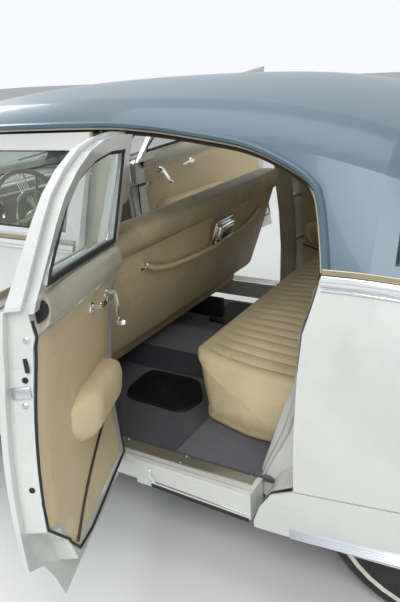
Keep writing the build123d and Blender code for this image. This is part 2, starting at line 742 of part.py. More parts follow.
rear_seat = rear_cushion + rear_back - across(wheelhouse_radius + 6, 2000, rear_axle_x, wheelhouse_y + 990, tyre_radius)
rear_seat = rear_seat - across(wheelhouse_radius + 6, 2000, rear_axle_x, -wheelhouse_y - 990, tyre_radius)
parts["rear_seat"] = largest(rear_seat)

# Engine, gearbox and propeller shaft
block_rear_x = 1120.0
block_low_z = 420.0
suspension_top_z = 328.0
engine = slab(block_rear_x, 1980, -200, 200, block_low_z, 860)
for side_y in (120, -120):
    engine = engine + slab(1540, 1610, side_y - 30, side_y + 30, suspension_top_z + fit_gap, block_low_z + 1)
parts["engine_block"] = engine
shaft_radius = 30.0
shaft_z = 300.0
shaft_rear_x = -1454.7
gearbox_rear_x = 945.0
shaft_length = gearbox_rear_x + 1 - shaft_rear_x
shaft = along(shaft_radius, shaft_length, shaft_rear_x + shaft_length / 2, 0, shaft_z)
parts["driveline"] = slab(gearbox_rear_x, block_rear_x - fit_gap, -90, 90, gearbox_low_z, 500) + shaft

# Rear axle and front suspension
axle_tube_radius = 42.0
rear_hub_y = track_rear / 2 - rim_width / 2
rear_axle = across(axle_tube_radius, 2 * rear_hub_y - 60, rear_axle_x, 0, tyre_radius)
rear_axle = rear_axle + Pos(rear_axle_x, 0, tyre_radius) * Sphere(125)
rear_axle = rear_axle + across(spindle_radius, track_rear + 20, rear_axle_x, 0, tyre_radius)
for side_y in (rail_y, -rail_y):
    rear_axle = rear_axle + slab(
        rear_axle_x - 45, rear_axle_x + 45, side_y - 30, side_y + 30, tyre_radius + 20, 415 - fit_gap
    )
parts["rear_axle"] = rear_axle
king_y = 610.0
king_radius = 26.0
king_eye_radius = 46.0
cross_half = rail_y - rail_half - fit_gap
arms = slab(front_axle_x - 70, front_axle_x + 70, -cross_half, cross_half, 250, suspension_top_z)
for sign in (1, -1):
    for arm_low, arm_high in ((262, 290), (412, 440)):
        near, far = sorted((sign * (rail_y - 60), sign * king_y))
        arms = arms + slab(front_axle_x - 40, front_axle_x + 40, near, far, arm_low, arm_high)
        eye = Cylinder(king_eye_radius, arm_high - arm_low)
        arms = arms + Pos(front_axle_x, sign * king_y, (arm_low + arm_high) / 2) * eye
    near, far = sorted((sign * (rail_y - 60), sign * cross_half))
    arms = arms + slab(front_axle_x - 40, front_axle_x + 40, near, far, 262, 440)
    arms = arms - Pos(front_axle_x, sign * king_y, 345) * Cylinder(king_radius + fit_gap, 300)
parts["front_suspension"] = largest(arms)

# Knuckles carry the front wheels on their spindles
spindle_length = track_front / 2 - king_y + 20
for side, sign in (("left", 1), ("right", -1)):
    spindle_mid_y = sign * (king_y + spindle_length / 2)
    knuckle = Pos(front_axle_x, sign * king_y, 345) * Cylinder(king_radius, 210)
    knuckle = knuckle + across(spindle_radius, spindle_length, front_axle_x, spindle_mid_y, tyre_radius)
    parts[f"knuckle_{side}"] = knuckle


# Wheels and tyres by revolving their half sections
def revolved(points, x, y, z):
    """Ring or disc turned about a line across the car through the point."""
    with BuildSketch(Plane.XY) as sketch:
        with BuildLine():
            Polyline(*points, close=True)
        make_face()
    ring = revolve(sketch.sketch, Axis.X, 360)
    return Pos(x, y, z) * Rot(0, 0, 90) * ring


half_w = tyre_width / 2
half_rim = rim_width / 2
bead_radius = rim_radius + fit_gap
tyre_points = [
    # distance from the middle plane, radius
    (-half_rim + 6, bead_radius), (-half_rim - 6, rim_radius + 14), (-half_w, 275), (-half_w + 6, 325),
    (-half_w + 26, 355), (-half_w + 50, tyre_radius), (half_w - 50, tyre_radius), (half_w - 26, 355),
    (half_w - 6, 325), (half_w, 275), (half_rim + 6, rim_radius + 14), (half_rim - 6, bead_radius),
]
bore_radius = spindle_radius + running_clearance
wheel_points = [
    # distance from the middle plane, radius
    (-half_rim, rim_radius), (half_rim, rim_radius), (half_rim, rim_radius - 14), (half_rim - 30, rim_radius - 30),
    (half_rim - 30, 120), (half_rim - 6, 80), (half_rim + 12, 30), (half_rim + 12, 0.0),
    (half_rim - 25, 0.0), (half_rim - 25, bore_radius),
    (half_rim - hub_bore_depth, bore_radius), (half_rim - hub_bore_depth, hub_radius), (half_rim - 46, hub_radius),
    (half_rim - 46, 120), (half_rim - 46, rim_radius - 20), (-half_rim, rim_radius - 14),
]
for end, axle_x, track in (("front", front_axle_x, track_front), ("rear", rear_axle_x, track_rear)):
    for side, sign in (("left", 1), ("right", -1)):
        tyre = revolved(tyre_points, axle_x, 0, tyre_radius)
        wheel = revolved(wheel_points, axle_x, 0, tyre_radius)
        if side == "right":
            tyre, wheel = mirrored(tyre), mirrored(wheel)
        parts[f"tyre_{end}_{side}"] = Pos(0, sign * track / 2, 0) * tyre
        parts[f"wheel_{end}_{side}"] = Pos(0, sign * track / 2, 0) * wheel

# Bumpers: bars curved in plan, on a bracket at the end of each frame rail
bumper_half = 900.0
bumper_sweep = 85.0
bumper_height = 150.0
bumper_thick = 22.0
bracket_low_z = 341.0
bracket_high_z = 364.0
plate_hole_spacing = 178.0
plate_hole_radius = 3.5


def bumper(x, rail_end, sign):
    """Bar curved back at its ends, with the plate pad and two brackets."""
    tip_x = x - sign * bumper_sweep
    inner = sign * bumper_thick
    with BuildSketch(Plane.XY.offset(bumper_z - bumper_height / 2)) as sketch:
        with BuildLine():
            ThreePointArc((tip_x, -bumper_half), (x, 0), (tip_x, bumper_half))
            Line((tip_x, bumper_half), (tip_x - inner, bumper_half))
            ThreePointArc((tip_x - inner, bumper_half), (x - inner, 0), (tip_x - inner, -bumper_half))
            Line((tip_x - inner, -bumper_half), (tip_x, -bumper_half))
        make_face()
    bar = extrude(sketch.sketch, amount=bumper_height)
    bar = chamfer(bar.edges().group_by(Axis.Z)[0] + bar.edges().group_by(Axis.Z)[-1], bumper_thick * 0.36)
    near, far = sorted((x, x - inner))
    bar = bar + slab(near, far, -120, 120, bumper_z - 25, bumper_z + 25)
    near, far = sorted((x - sign * 40, rail_end))
    for side_y in (rail_y, -rail_y):
        bar = bar + slab(near, far, side_y - 30, side_y + 30, bracket_low_z, bracket_high_z)
        near_strap, far_strap = sorted((x - sign * 56, x - sign * 30))
        bar = bar + slab(near_strap, far_strap, side_y - 30, side_y + 30, bracket_low_z, bumper_z)
    for side_y in (plate_hole_spacing / 2, -plate_hole_spacing / 2):
        bar = bar - along(plate_hole_radius, 100, x - inner, side_y, bumper_z)
    return largest(bar)


parts["bumpers"] = Compound([bumper(bumper_front_x, 2300, 1), bumper(bumper_rear_x, -2650, -1)])

# Lamps through the fenders and the tail
lamp = along(lamp_radius, 90, nose_x - 25, lamp_y, lamp_z) + along(lamp_radius + 12, 10, nose_x + 16, lamp_y, lamp_z)
lamp = lamp + along(lamp_radius - 10, 8, nose_x + 24, lamp_y, lamp_z)
parts["headlamps"] = Compound([lamp, mirrored(lamp)])
tail_lamp = along(tail_lamp_radius, 50, tail_x, tail_lamp_y, tail_lamp_z)
tail_lamp = tail_lamp + along(tail_lamp_radius + 8, 12, tail_x - 7, tail_lamp_y, tail_lamp_z)
parts["taillamps"] = Compound([tail_lamp, mirrored(tail_lamp)])

# Exhaust pipe with its muffler and rear hanger
exhaust_path = [
    (1300, -230, 440), (1200, -290, 300), (1000, exhaust_y, exhaust_z), (-1900, exhaust_y, exhaust_z),
    (-2100, exhaust_y, 250), (-2680, exhaust_y, 262),
]
muffler_radius = 40.0
exhaust = pipe(exhaust_path, exhaust_radius) + along(muffler_radius, 620, -620, exhaust_y, exhaust_z)
exhaust = exhaust + slab(-2385, -2360, exhaust_y - 12, exhaust_y + 12, 262, 345 - fit_gap)
parts["exhaust"] = exhaust

os.makedirs("parts", exist_ok=True)
for name, shape in parts.items():
    export_step(shape, f"parts/{name}.step")
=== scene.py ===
"""Dresses a full-size sedan of about 1950: paint, chrome, leather, trim and glass around its CAD frame."""

import bpy
import json
import math
from mathutils import Matrix, Vector
from mathutils.bvhtree import BVHTree
from bpy.props import FloatProperty, FloatVectorProperty, IntProperty, PointerProperty


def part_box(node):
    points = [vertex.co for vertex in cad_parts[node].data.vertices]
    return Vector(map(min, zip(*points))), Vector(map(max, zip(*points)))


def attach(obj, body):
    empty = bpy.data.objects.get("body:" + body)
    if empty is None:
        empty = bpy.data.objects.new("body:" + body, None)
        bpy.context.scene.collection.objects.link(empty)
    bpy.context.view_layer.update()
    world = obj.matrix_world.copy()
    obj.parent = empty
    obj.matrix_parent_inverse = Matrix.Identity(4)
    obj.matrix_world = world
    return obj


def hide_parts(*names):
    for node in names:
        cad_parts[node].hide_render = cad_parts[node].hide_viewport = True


bl_info = {
    "name": "Sedan dresser",
    "version": (1, 0, 0),
    "blender": (4, 5, 0),
    "location": "View3D > Sidebar > Sedan",
    "description": "Paint, chrome, leather, trim and glass for a four-door sedan of about 1950",
    "category": "Object",
}

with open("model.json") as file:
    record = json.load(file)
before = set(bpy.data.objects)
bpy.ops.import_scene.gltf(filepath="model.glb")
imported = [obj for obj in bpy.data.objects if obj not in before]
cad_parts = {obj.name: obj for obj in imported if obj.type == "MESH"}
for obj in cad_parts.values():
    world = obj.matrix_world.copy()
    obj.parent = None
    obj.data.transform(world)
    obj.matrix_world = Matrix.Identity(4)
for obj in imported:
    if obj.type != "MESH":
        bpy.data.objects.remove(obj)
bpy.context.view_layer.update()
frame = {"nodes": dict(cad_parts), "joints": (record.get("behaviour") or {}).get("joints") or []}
NODES = frame["nodes"]
TAU = 2 * math.pi


# Sizes that pieces share, in metres, in the car's frame: +X forward, +Y left, +Z up
SILL_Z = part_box("rockers")[1].z
SILL_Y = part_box("rockers")[1].y
SILL_IN_Y = 0.822
FLOOR_RISE = 0.020
MAT_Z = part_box("floor_pan")[0].z + FLOOR_RISE
BELT_Z = 1.060
# radius at which a turned form closes
TIP = 0.0001

DOORS = ("front_left", "front_right", "rear_left", "rear_right")
SIDES = (("left", 1), ("right", -1))


# Shader maths

class Socket:
    """A shader socket that takes part in Python arithmetic."""

    def __init__(self, finish, socket):
        self.finish = finish
        self.socket = socket

    def maths(self, operation, *values):
        return self.finish.node("ShaderNodeMath", {"operation": operation}, dict(enumerate(values)))

    def __add__(self, other):
        return self.maths("ADD", self, other)

    __radd__ = __add__

    def __sub__(self, other):
        return self.maths("SUBTRACT", self, other)

    def __rsub__(self, other):
        return self.maths("SUBTRACT", other, self)

    def __mul__(self, other):
        return self.maths("MULTIPLY", self, other)

    __rmul__ = __mul__

    def __pow__(self, other):
        return self.maths("POWER", self, other)

    def __rpow__(self, other):
        return self.maths("POWER", other, self)

    def sine(self):
        return self.maths("SINE", self)

    def between(self, low, high):
        """0 below low, 1 above high, smooth between."""
        inputs = {"Value": self, "From Min": low, "From Max": high}
        return self.finish.node("ShaderNodeMapRange", {"interpolation_type": "SMOOTHSTEP"}, inputs)


# Places of the sockets of a colour Mix node
MIX_SHARE, MIX_FIRST, MIX_SECOND, MIX_RESULT = 0, 6, 7, 2


class Finish:
    """One procedural material, or the studio's sky, built from expressions on sockets."""

    def __init__(self, name, owner=None):
        self.owner = owner or bpy.data.materials.new(name)
        self.owner.use_nodes = True
        self.tree = self.owner.node_tree
        self.tree.nodes.clear()

    def node(self, kind, settings=None, inputs=None, output=0):
        """Adds a node: its settings first, then the values or links of its sockets."""
        made = self.tree.nodes.new(kind)
        for key, value in (settings or {}).items():
            setattr(made, key, value)
        for key, value in (inputs or {}).items():
            target = made.inputs[key]
            if isinstance(value, Socket):
                self.tree.links.new(value.socket, target)
            elif target.type == "RGBA" and len(value) == 3:
                target.default_value = (*value, 1)
            else:
                target.default_value = value
        return Socket(self, made.outputs[output]) if len(made.outputs) else None

    def place(self):
        """Where a point lies in the piece, in metres."""
        return self.node("ShaderNodeTexCoord", output="Object")

    def axis(self, name):
        """One coordinate of the point, in metres."""
        return self.node("ShaderNodeSeparateXYZ", inputs={0: self.place()}, output=name)

    def noise(self, scale, detail=3.0, rough=0.55, stretch=None):
        where = self.place()
        if stretch:
            where = self.node("ShaderNodeVectorMath", {"operation": "MULTIPLY"}, {0: where, 1: stretch})
        values = {"Vector": where, "Scale": scale, "Detail": detail, "Roughness": rough}
        return self.node("ShaderNodeTexNoise", {}, values)

    def cells(self, scale, feature="F1"):
        """Distance to the middle, or to the edge, of the cell that a point lies in."""
        inputs = {"Vector": self.place(), "Scale": scale}
        return self.node("ShaderNodeTexVoronoi", {"feature": feature}, inputs, "Distance")

    def cell_level(self, scale):
        """One random value for each cell."""
        colour = self.node("ShaderNodeTexVoronoi", {}, {"Vector": self.place(), "Scale": scale}, "Color")
        return self.node("ShaderNodeSeparateColor", {}, {0: colour})

    def mix(self, first, second, share):
        """The first colour where share is 0, the second where it is 1."""
        inputs = {MIX_SHARE: share, MIX_FIRST: first, MIX_SECOND: second}
        return self.node("ShaderNodeMix", {"data_type": "RGBA"}, inputs, MIX_RESULT)

    def bump(self, height, strength, distance, under=None):
        """Relief from a height, over the relief that another bump gives."""
        inputs = {"Height": height, "Strength": strength, "Distance": distance}
        if under:
            inputs["Normal"] = under
        return self.node("ShaderNodeBump", {}, inputs)

    def principled(self, **inputs):
        return self.node("ShaderNodeBsdfPrincipled", {}, {k.replace("_", " "): v for k, v in inputs.items()})

    def surface(self, shader, output="ShaderNodeOutputMaterial"):
        self.node(output, {}, {"Surface": shader})
        return self.owner


def toned(colour, share, lift=0.0):
    """The colour made darker or lighter, at most white."""
    return tuple(min(1.0, c * share + lift) for c in colour)


def car_paint(name, colour, flake=0.0, gloss=0.16, coat=0.7):
    """Enamel over primer: faint orange peel, a haze of dust and, in a metallic, fine flakes."""
    f = Finish(name)
    haze = f.noise(3.5, 4.0, 0.6)
    dust = f.noise(260.0, 2.0)
    base = f.mix(toned(colour, 0.90), colour, haze.between(0.30, 0.62))
    rough = haze * 0.10 + dust * 0.05 + gloss
    if flake:
        base = f.mix(base, toned(colour, 1.45), f.cell_level(2600.0) * flake)
    peel = f.bump(f.noise(520.0, 1.0), 0.05, 0.0004)
    wave = f.bump(f.noise(2.2, 1.0), 0.06, 0.004, peel)
    return f.surface(f.principled(
        Base_Color=base, Roughness=rough, Metallic=0.15 if flake else 0.0, Coat_Weight=coat,
        Coat_Roughness=0.05, Normal=wave,
    ))


def bright_metal(name, colour=(0.80, 0.81, 0.82), rough=0.07):
    """Plated or polished metal with fine scratches, faint pitting and fingermarks."""
    f = Finish(name)
    smear = f.noise(9.0, 4.0, 0.6)
    pits = f.cells(900.0).between(0.0, 0.10)
    base = f.mix(toned(colour, 0.62), colour, pits * 0.5 + 0.5)
    level = smear.between(0.35, 0.75) * 0.12 + rough
    scratches = f.bump(f.noise(700.0, 2.0, stretch=(1.0, 1.0, 0.08)), 0.05, 0.0003)
    wave = f.bump(f.noise(14.0, 2.0), 0.04, 0.001, scratches)
    return f.surface(f.principled(Base_Color=base, Roughness=level, Metallic=1.0, Normal=wave))


def leather(name, colour, worn, grain=620.0, wear=0.5, gloss=0.42):
    """Hide with pebble grain, stretch creases, darker hollows and a rubbed, paler top."""
    f = Finish(name)
    pebble = f.cells(grain, "DISTANCE_TO_EDGE").between(0.0, 0.10)
    crease = f.noise(46.0, 5.0, 0.62, stretch=(1.0, 0.35, 1.0))
    patch = f.noise(5.5, 4.0, 0.6)
    speck = f.noise(140.0, 2.0)
    hollow = f.mix(toned(colour, 0.62), colour, pebble * 0.35 + 0.65)
    rubbed = f.mix(hollow, worn, patch.between(0.42, 0.70) * wear)
    lined = f.mix(rubbed, toned(colour, 0.55), crease.between(0.60, 0.72) * 0.35)
    base = f.mix(lined, toned(colour, 0.8), speck.between(0.60, 0.80) * 0.25)
    rough = (1 - pebble) * 0.16 + patch * 0.14 + gloss - 0.08
    fold = f.bump(crease, 0.35, 0.0035, f.bump(pebble, 0.30, 0.0006))
    return f.surface(f.principled(Base_Color=base, Roughness=rough, Normal=fold, Specular_IOR_Level=0.42))


def cloth(name, light, dark, pitch=900.0):
    """Woven cloth: two threads crossing, with slubs and a soft sheen."""
    f = Finish(name)
    warp = (f.axis("X") * pitch).sine() * 0.5 + 0.5
    weft = ((f.axis("Y") + f.axis("Z")) * pitch).sine() * 0.5 + 0.5
    weave = warp * weft
    slub = f.noise(180.0, 3.0, stretch=(1.0, 0.15, 1.0))
    base = f.mix(dark, light, weave * 0.5 + slub * 0.3 + f.noise(4.0, 3.0) * 0.25)
    relief = f.bump(weave + slub * 0.4, 0.35, 0.0006)
    return f.surface(f.principled(
        Base_Color=base, Roughness=slub * 0.1 + 0.84, Normal=relief, Sheen_Weight=0.25,
    ))


def pile(name, light, dark, loop=420.0):
    """Loop-pile carpet: tufts in rows, flattened and dusty in patches."""
    f = Finish(name)
    patch = f.noise(7.0, 5.0, 0.62)
    lint = f.noise(95.0, 4.0, 0.7)
    base = f.mix(dark, light, f.cell_level(loop) * 0.45 + patch.between(0.30, 0.72) * 0.4 + lint * 0.15)
    dusty = f.mix(base, toned(light, 2.2), lint.between(0.66, 0.84) * 0.35)
    relief = f.bump((1 - f.cells(loop)) + patch * 1.4, 0.75, 0.003)
    return f.surface(f.principled(
        Base_Color=dusty, Roughness=patch * 0.08 + 0.88, Normal=relief, Sheen_Weight=0.4,
    ))


def rubber(name, colour, rough=0.62, grain=500.0, dust=0.25):
    """Moulded rubber: fine mould grain, dusty and greyed in its high spots."""
    f = Finish(name)
    patch = f.noise(12.0, 4.0, 0.6)
    base = f.mix(colour, toned(colour, 2.4, 0.02), patch.between(0.42, 0.75) * dust)
    relief = f.bump(f.noise(grain, 3.0), 0.18, 0.0006)
    return f.surface(f.principled(Base_Color=base, Roughness=patch * 0.14 + rough - 0.07, Normal=relief))


def painted(name, colour, rough=0.40):
    """Brushed or sprayed enamel with a little texture and grime."""
    f = Finish(name)
    texture = f.noise(340.0, 3.0)
    grime = f.noise(6.0, 5.0, 0.65)
    base = f.mix(toned(colour, 0.78), colour, grime.between(0.28, 0.60))
    level = grime * 0.18 + texture * 0.06 + rough - 0.10
    return f.surface(f.principled(Base_Color=base, Roughness=level, Normal=f.bump(texture, 0.10, 0.0006)))


def clear_glass(name, tint, see):
    """Flat window glass: mostly clear, more mirror-like at a shallow angle, with a film of dust."""
    f = Finish(name)
    film = f.noise(5.0, 4.0, 0.6)
    shallow = f.node("ShaderNodeLayerWeight", {}, {"Blend": 0.5}, "Facing") ** 4
    clear = f.node("ShaderNodeBsdfTransparent", {}, {"Color": tint})
    gloss = f.principled(Base_Color=tint, Roughness=film * 0.05 + 0.02, Metallic=0.0, Specular_IOR_Level=0.9)
    share = shallow * 0.55 + film.between(0.45, 0.85) * 0.03 + (1 - see) * 0.4
    return f.surface(f.node("ShaderNodeMixShader", {}, {0: share, 1: clear, 2: gloss}))


def lens(name, colour, flutes=420.0):
    """Pressed lamp glass with flutes that scatter the light."""
    f = Finish(name)
    flute = (f.axis("Y") * flutes).sine()
    cross = (f.axis("Z") * flutes * 0.35).sine()
    haze = f.noise(30.0, 3.0)
    base = f.mix(toned(colour, 0.7), colour, haze)
    return f.surface(f.principled(
        Base_Color=base, Roughness=haze * 0.08 + 0.04, Coat_Weight=0.8, Coat_Roughness=0.03,
        Normal=f.bump(flute + cross * 0.4, 0.5, 0.0015), Specular_IOR_Level=0.7,
    ))


def rusted(name, colour, rust, share=0.5, rough=0.62):
    """Bare or blackened iron with scale and brown bloom."""
    f = Finish(name)
    scale = f.noise(42.0, 6.0, 0.7)
    bloom = f.noise(8.0, 5.0, 0.65)
    base = f.mix(colour, rust, (scale * 0.5 + bloom * 0.5).between(0.62 - share * 0.2, 0.72))
    return f.surface(f.principled(
        Base_Color=base, Roughness=scale * 0.2 + rough, Metallic=0.35, Normal=f.bump(scale, 0.4, 0.002),
    ))


FINISHES = {}


def make_finishes(sizes):
    """Every finish the car wears, by the name that pieces ask for."""
    body, roof, hide = (tuple(c) for c in (sizes.body_colour, sizes.roof_colour, sizes.leather_colour))
    FINISHES.update(
        body=car_paint("Pearl white enamel", body),
        roof=car_paint("Steel blue metallic enamel", roof, 0.5, 0.30, 0.22),
        chrome=bright_metal("Chrome plate"),
        steel=bright_metal("Brushed stainless strip", (0.62, 0.64, 0.66), 0.22),
        gold=bright_metal("Brass-toned strip", (0.42, 0.36, 0.25), 0.26),
        leather=leather("Cream leather", hide, toned(hide, 1.22)),
        tan=leather("Worn tan leather", toned(hide, 0.80), toned(hide, 1.1), wear=0.8),
        piping=leather("Dark piping leather", (0.045, 0.030, 0.018), (0.10, 0.07, 0.045)),
        vinyl=leather("Cream trim panel", toned(hide, 0.96), hide, 900.0, 0.3, 0.5),
        cream=painted("Cream enamel", (0.52, 0.50, 0.40), 0.34),
        ivory=painted("Ivory plastic", (0.66, 0.62, 0.46), 0.24),
        headliner=cloth("Headliner cloth", (0.42, 0.40, 0.35), (0.22, 0.21, 0.18)),
        carpet=pile("Grey violet carpet", (0.060, 0.062, 0.088), (0.015, 0.015, 0.024)),
        mat=rubber("Ribbed rubber mat", (0.012, 0.012, 0.014)),
        seal=rubber("Black rubber seal", (0.010, 0.010, 0.010), 0.55),
        scuff=bright_metal("Sill tread plate", (0.58, 0.59, 0.56), 0.34),
        glass=clear_glass("Window glass", (0.93, 0.96, 0.95), 0.94),
        lens=lens("Fluted lamp glass", (0.78, 0.82, 0.84)),
        red=lens("Red lamp glass", (0.42, 0.012, 0.008)),
        tyre=rubber("Tyre rubber", (0.014, 0.014, 0.015), 0.66, 420.0, 0.35),
        whitewall=rubber("Whitewall rubber", (0.62, 0.60, 0.52), 0.50, 300.0, 0.5),
        chassis=rusted("Black chassis paint", (0.020, 0.020, 0.021), (0.09, 0.045, 0.02), 0.25),
        iron=rusted("Cast iron", (0.10, 0.11, 0.10), (0.16, 0.07, 0.03), 0.35),
        exhaust=rusted("Exhaust pipe", (0.20, 0.18, 0.16), (0.22, 0.09, 0.04), 0.8),
        dark=painted("Dark recess", (0.014, 0.014, 0.015), 0.7),
        dial=painted("Dial face", (0.32, 0.30, 0.22), 0.4),
        plate=painted("Blank plate", (0.50, 0.50, 0.46), 0.38),
    )


# Forms: lists of vertices and faces in the car's frame

def joined(*forms):
    """Several forms as one."""
    verts, faces = [], []
    for part_verts, part_faces in forms:
        start = len(verts)
        verts += part_verts
        faces += [[i + start for i in face] for face in part_faces]
    return verts, faces


def moved(form, matrix):
    """The form through a matrix, turned right side out again if that mirrors it."""
    verts = [matrix @ Vector(v) for v in form[0]]
    faces = [face[::-1] for face in form[1]] if matrix.determinant() < 0 else form[1]
    return verts, faces


MIRROR = Matrix.Diagonal((1, -1, 1, 1))


def both_sides(form):
    return joined(form, moved(form, MIRROR))


def spread(start, stop, parts):
    """Evenly spaced values from start to stop."""
    return [start + (stop - start) * i / parts for i in range(parts + 1)]


def side_view(points):
    """Points of the side view as points in space, on the centre plane."""
    return [Vector((x, 0.0, z)) for x, z in points]


def grid(rows, closed=False, caps=False):
    """A skin over rows of points, all rows of one length; closed joins each row's ends."""
    count = len(rows[0])
    verts = [Vector(p) for row in rows for p in row]
    faces = []
    for r in range(len(rows) - 1):
        for c in range(count if closed else count - 1):
            d = (c + 1) % count
            faces.append([r * count + c, r * count + d, (r + 1) * count + d, (r + 1) * count + c])
    if caps:
        faces.append(list(range(count))[::-1])
        faces.append([(len(rows) - 1) * count + c for c in range(count)])
    return verts, faces


def swept(path, section, up, loop=False, scale=None):
    """A closed section of (aside, upward) points carried along a path. up is a vector or one vector a point,
    and scale gives the section's size at a share of the way."""
    path = [Vector(p) for p in path]
    count = len(path)
    rows = []
    for i, point in enumerate(path):
        before = path[(i - 1) % count] if loop or i > 0 else point
        after = path[(i + 1) % count] if loop or i < count - 1 else point
        ahead = (after - before).normalized()
        lift = Vector(up[i] if hasattr(up[0], "__len__") else up)
        aside = ahead.cross(lift).normalized()
        lift = aside.cross(ahead).normalized()
        size = scale(i / max(1, count - 1)) if scale else 1.0
        rows.append([point + aside * (a * size) + lift * (b * size) for a, b in section])
    if loop:
        rows.append(rows[0])
    return grid(rows, closed=True, caps=not loop)


def arc_section(width, height, steps=8):
    """Half-round moulding section, flat below."""
    return [(width / 2 * math.cos(a), height * math.sin(a)) for a in spread(0.0, math.pi, steps)]


def round_section(radius, steps=8):
    return [(radius * math.cos(TAU * i / steps), radius * math.sin(TAU * i / steps)) for i in range(steps)]


def ribbed_section(width, height, ribs, depth):
    """Flat moulding with ribs along it."""
    points = [(-width / 2, 0.0)]
    steps = ribs * 4
    for i in range(steps + 1):
        across = -width / 2 + width * i / steps
        edge = min(1.0, min(i, steps - i) / 2)
        dip = depth * (1 - math.cos(TAU * ribs * i / steps)) / 2
        points.append((across, (height - dip) * edge))
    points.append((width / 2, 0.0))
    return points[::-1]


def lathe(profile, centre, axis, steps=48):
    """A profile of (along, radius) points turned about an axis through centre."""
    axis = Vector(axis).normalized()
    side = axis.orthogonal().normalized()
    other = axis.cross(side)
    spokes = [side * math.cos(TAU * i / steps) + other * math.sin(TAU * i / steps) for i in range(steps)]
    middle = Vector(centre)
    rows = [[middle + axis * along + spoke * radius for spoke in spokes] for along, radius in profile]
    return grid(rows, closed=True)


def domed(height, radius, parts):
    """Profile of a lens or a cap: a quarter of an ellipse from its top to its rim."""
    angles = spread(0.0, math.pi / 2, parts)
    return [(height * math.cos(a), radius * math.sin(a) + TIP) for a in angles]


def rounded_box(centre, size, radius, steps=3, turn=None):
    """Box with all edges rounded, and with small flats where its top and bottom close."""
    rings = []
    half = [s / 2 - radius for s in size]
    tilts = spread(-math.pi / 2, 0.0, steps)
    levels = [(-half[2], tilt) for tilt in tilts] + [(half[2], -tilt) for tilt in tilts[::-1]]
    for z, tilt in levels:
        ring = []
        reach = radius * max(math.cos(tilt), 1e-3)
        for quarter, (sx, sy) in enumerate(((1, 1), (-1, 1), (-1, -1), (1, -1))):
            for angle in spread(math.pi / 2 * quarter, math.pi / 2 * (quarter + 1), steps):
                x = sx * half[0] + reach * math.cos(angle)
                y = sy * half[1] + reach * math.sin(angle)
                ring.append(Vector((x, y, z + radius * math.sin(tilt))))
        rings.append(ring)
    form = grid(rings, closed=True, caps=True)
    return moved(form, Matrix.Translation(centre) @ (turn.to_4x4() if turn else Matrix.Identity(4)))


def rod_section(wide, high):
    """Small rectangle of these half sizes, for flat arms."""
    return [(wide, high), (-wide, high), (-wide, -high), (wide, -high)]


def smooth_path(points, per_span=6, loop=False):
    """Points along a smooth curve through the given ones."""
    pts = [Vector(p) for p in points]
    count = len(pts)
    spans = count if loop else count - 1
    out = []
    for i in range(spans):
        p1, p2 = pts[i], pts[(i + 1) % count]
        p0 = pts[(i - 1) % count] if loop or i > 0 else p1 * 2 - p2
        p3 = pts[(i + 2) % count] if loop or i < count - 2 else p2 * 2 - p1
        for s in range(per_span):
            t = s / per_span
            out.append(0.5 * (2 * p1 + (p2 - p0) * t + (2 * p0 - 5 * p1 + 4 * p2 - p3) * t * t
                              + (3 * p1 - p0 - 3 * p2 + p3) * t ** 3))
    if not loop:
        out.append(pts[-1])
    return out


def rounded_outline(points, radius, steps=5):
    """A closed outline in two coordinates with its corners rounded."""
    out = []
    count = len(points)
    for i, point in enumerate(points):
        p = Vector(point)
        back = Vector(points[i - 1]) - p
        ahead = Vector(points[(i + 1) % count]) - p
        reach = min(radius, back.length * 0.45, ahead.length * 0.45)
        start, end = p + back.normalized() * reach, p + ahead.normalized() * reach
        for t in spread(0.0, 1.0, steps):
            out.append(start * (1 - t) ** 2 + p * 2 * t * (1 - t) + end * t * t)
    return out


class Skin:
    """The surface of some CAD nodes, to lay trim on, in a frame of its own."""

    def __init__(self, names, place=Matrix.Identity(4)):
        back = place.inverted()
        verts, polys = [], []
        for name in names:
            mesh = NODES[name].data
            start = len(verts)
            verts += [back @ v.co for v in mesh.vertices]
            polys += [[i + start for i in p.vertices] for p in mesh.polygons]
        self.tree = BVHTree.FromPolygons(verts, polys)

    def hit(self, origin, direction):
        """Where a ray meets the surface, and the surface's normal there."""
        found = self.tree.ray_cast(Vector(origin), Vector(direction).normalized())
        return found[0], found[1]

    def side(self, x, z, default=0.9, start=2.0, direction=-1.0):
        """How far out the surface lies at a point of the side view, seen from start."""
        point, _ = self.hit((x, start, z), (0, direction, 0))
        return point.y if point else default

    def top(self, x, y, default=1.0, start=2.5):
        """How high the surface lies at a point of the top view."""
        point, _ = self.hit((x, y, start), (0, 0, -1))
        return point.z if point else default


def make(name, form, finish, body, bevel=0.0, angle=40.0, replaces=()):
    """Makes one piece of the car from a form, with its finish, on the CAD body that it moves with."""
    verts, faces = form
    mesh = bpy.data.meshes.new(name)
    mesh.from_pydata([tuple(v) for v in verts], [], faces)
    mesh.validate()
    mesh.update()
    piece = bpy.data.objects.new(name, mesh)
    bpy.context.scene.collection.objects.link(piece)
    mesh.materials.append(FINISHES[finish])
    mesh.shade_smooth()
    mesh.set_sharp_from_angle(angle=math.radians(angle))
    if bevel:
        modifier = piece.modifiers.new("Edges", "BEVEL")
        modifier.width = bevel
        modifier.segments = 2
        modifier.limit_method = "ANGLE"
    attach(piece, body)
    if replaces:
        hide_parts(*replaces)
    return piece


# Stage

FLOOR_REACH = 60.0
FLOOR_TONES = ((0.70, 0.70, 0.69), (0.76, 0.76, 0.75))
SKY_COLOUR = (0.93, 0.96, 1.0)
# name, place, aim, width, height, share of the key light's power
LIGHTS = [
    ("Key light", (-3.0, 5.5, 5.5), (-0.6, 0.4, 0.8), 5.0, 3.5, 1.0),
    ("Fill light", (6.8, -1.8, 3.8), (-0.3, -0.2, 0.8), 5.0, 3.5, 0.90),
    ("Top light", (0.0, 0.0, 7.0), (0.0, 0.0, 0.0), 7.0, 4.0, 0.52),
]


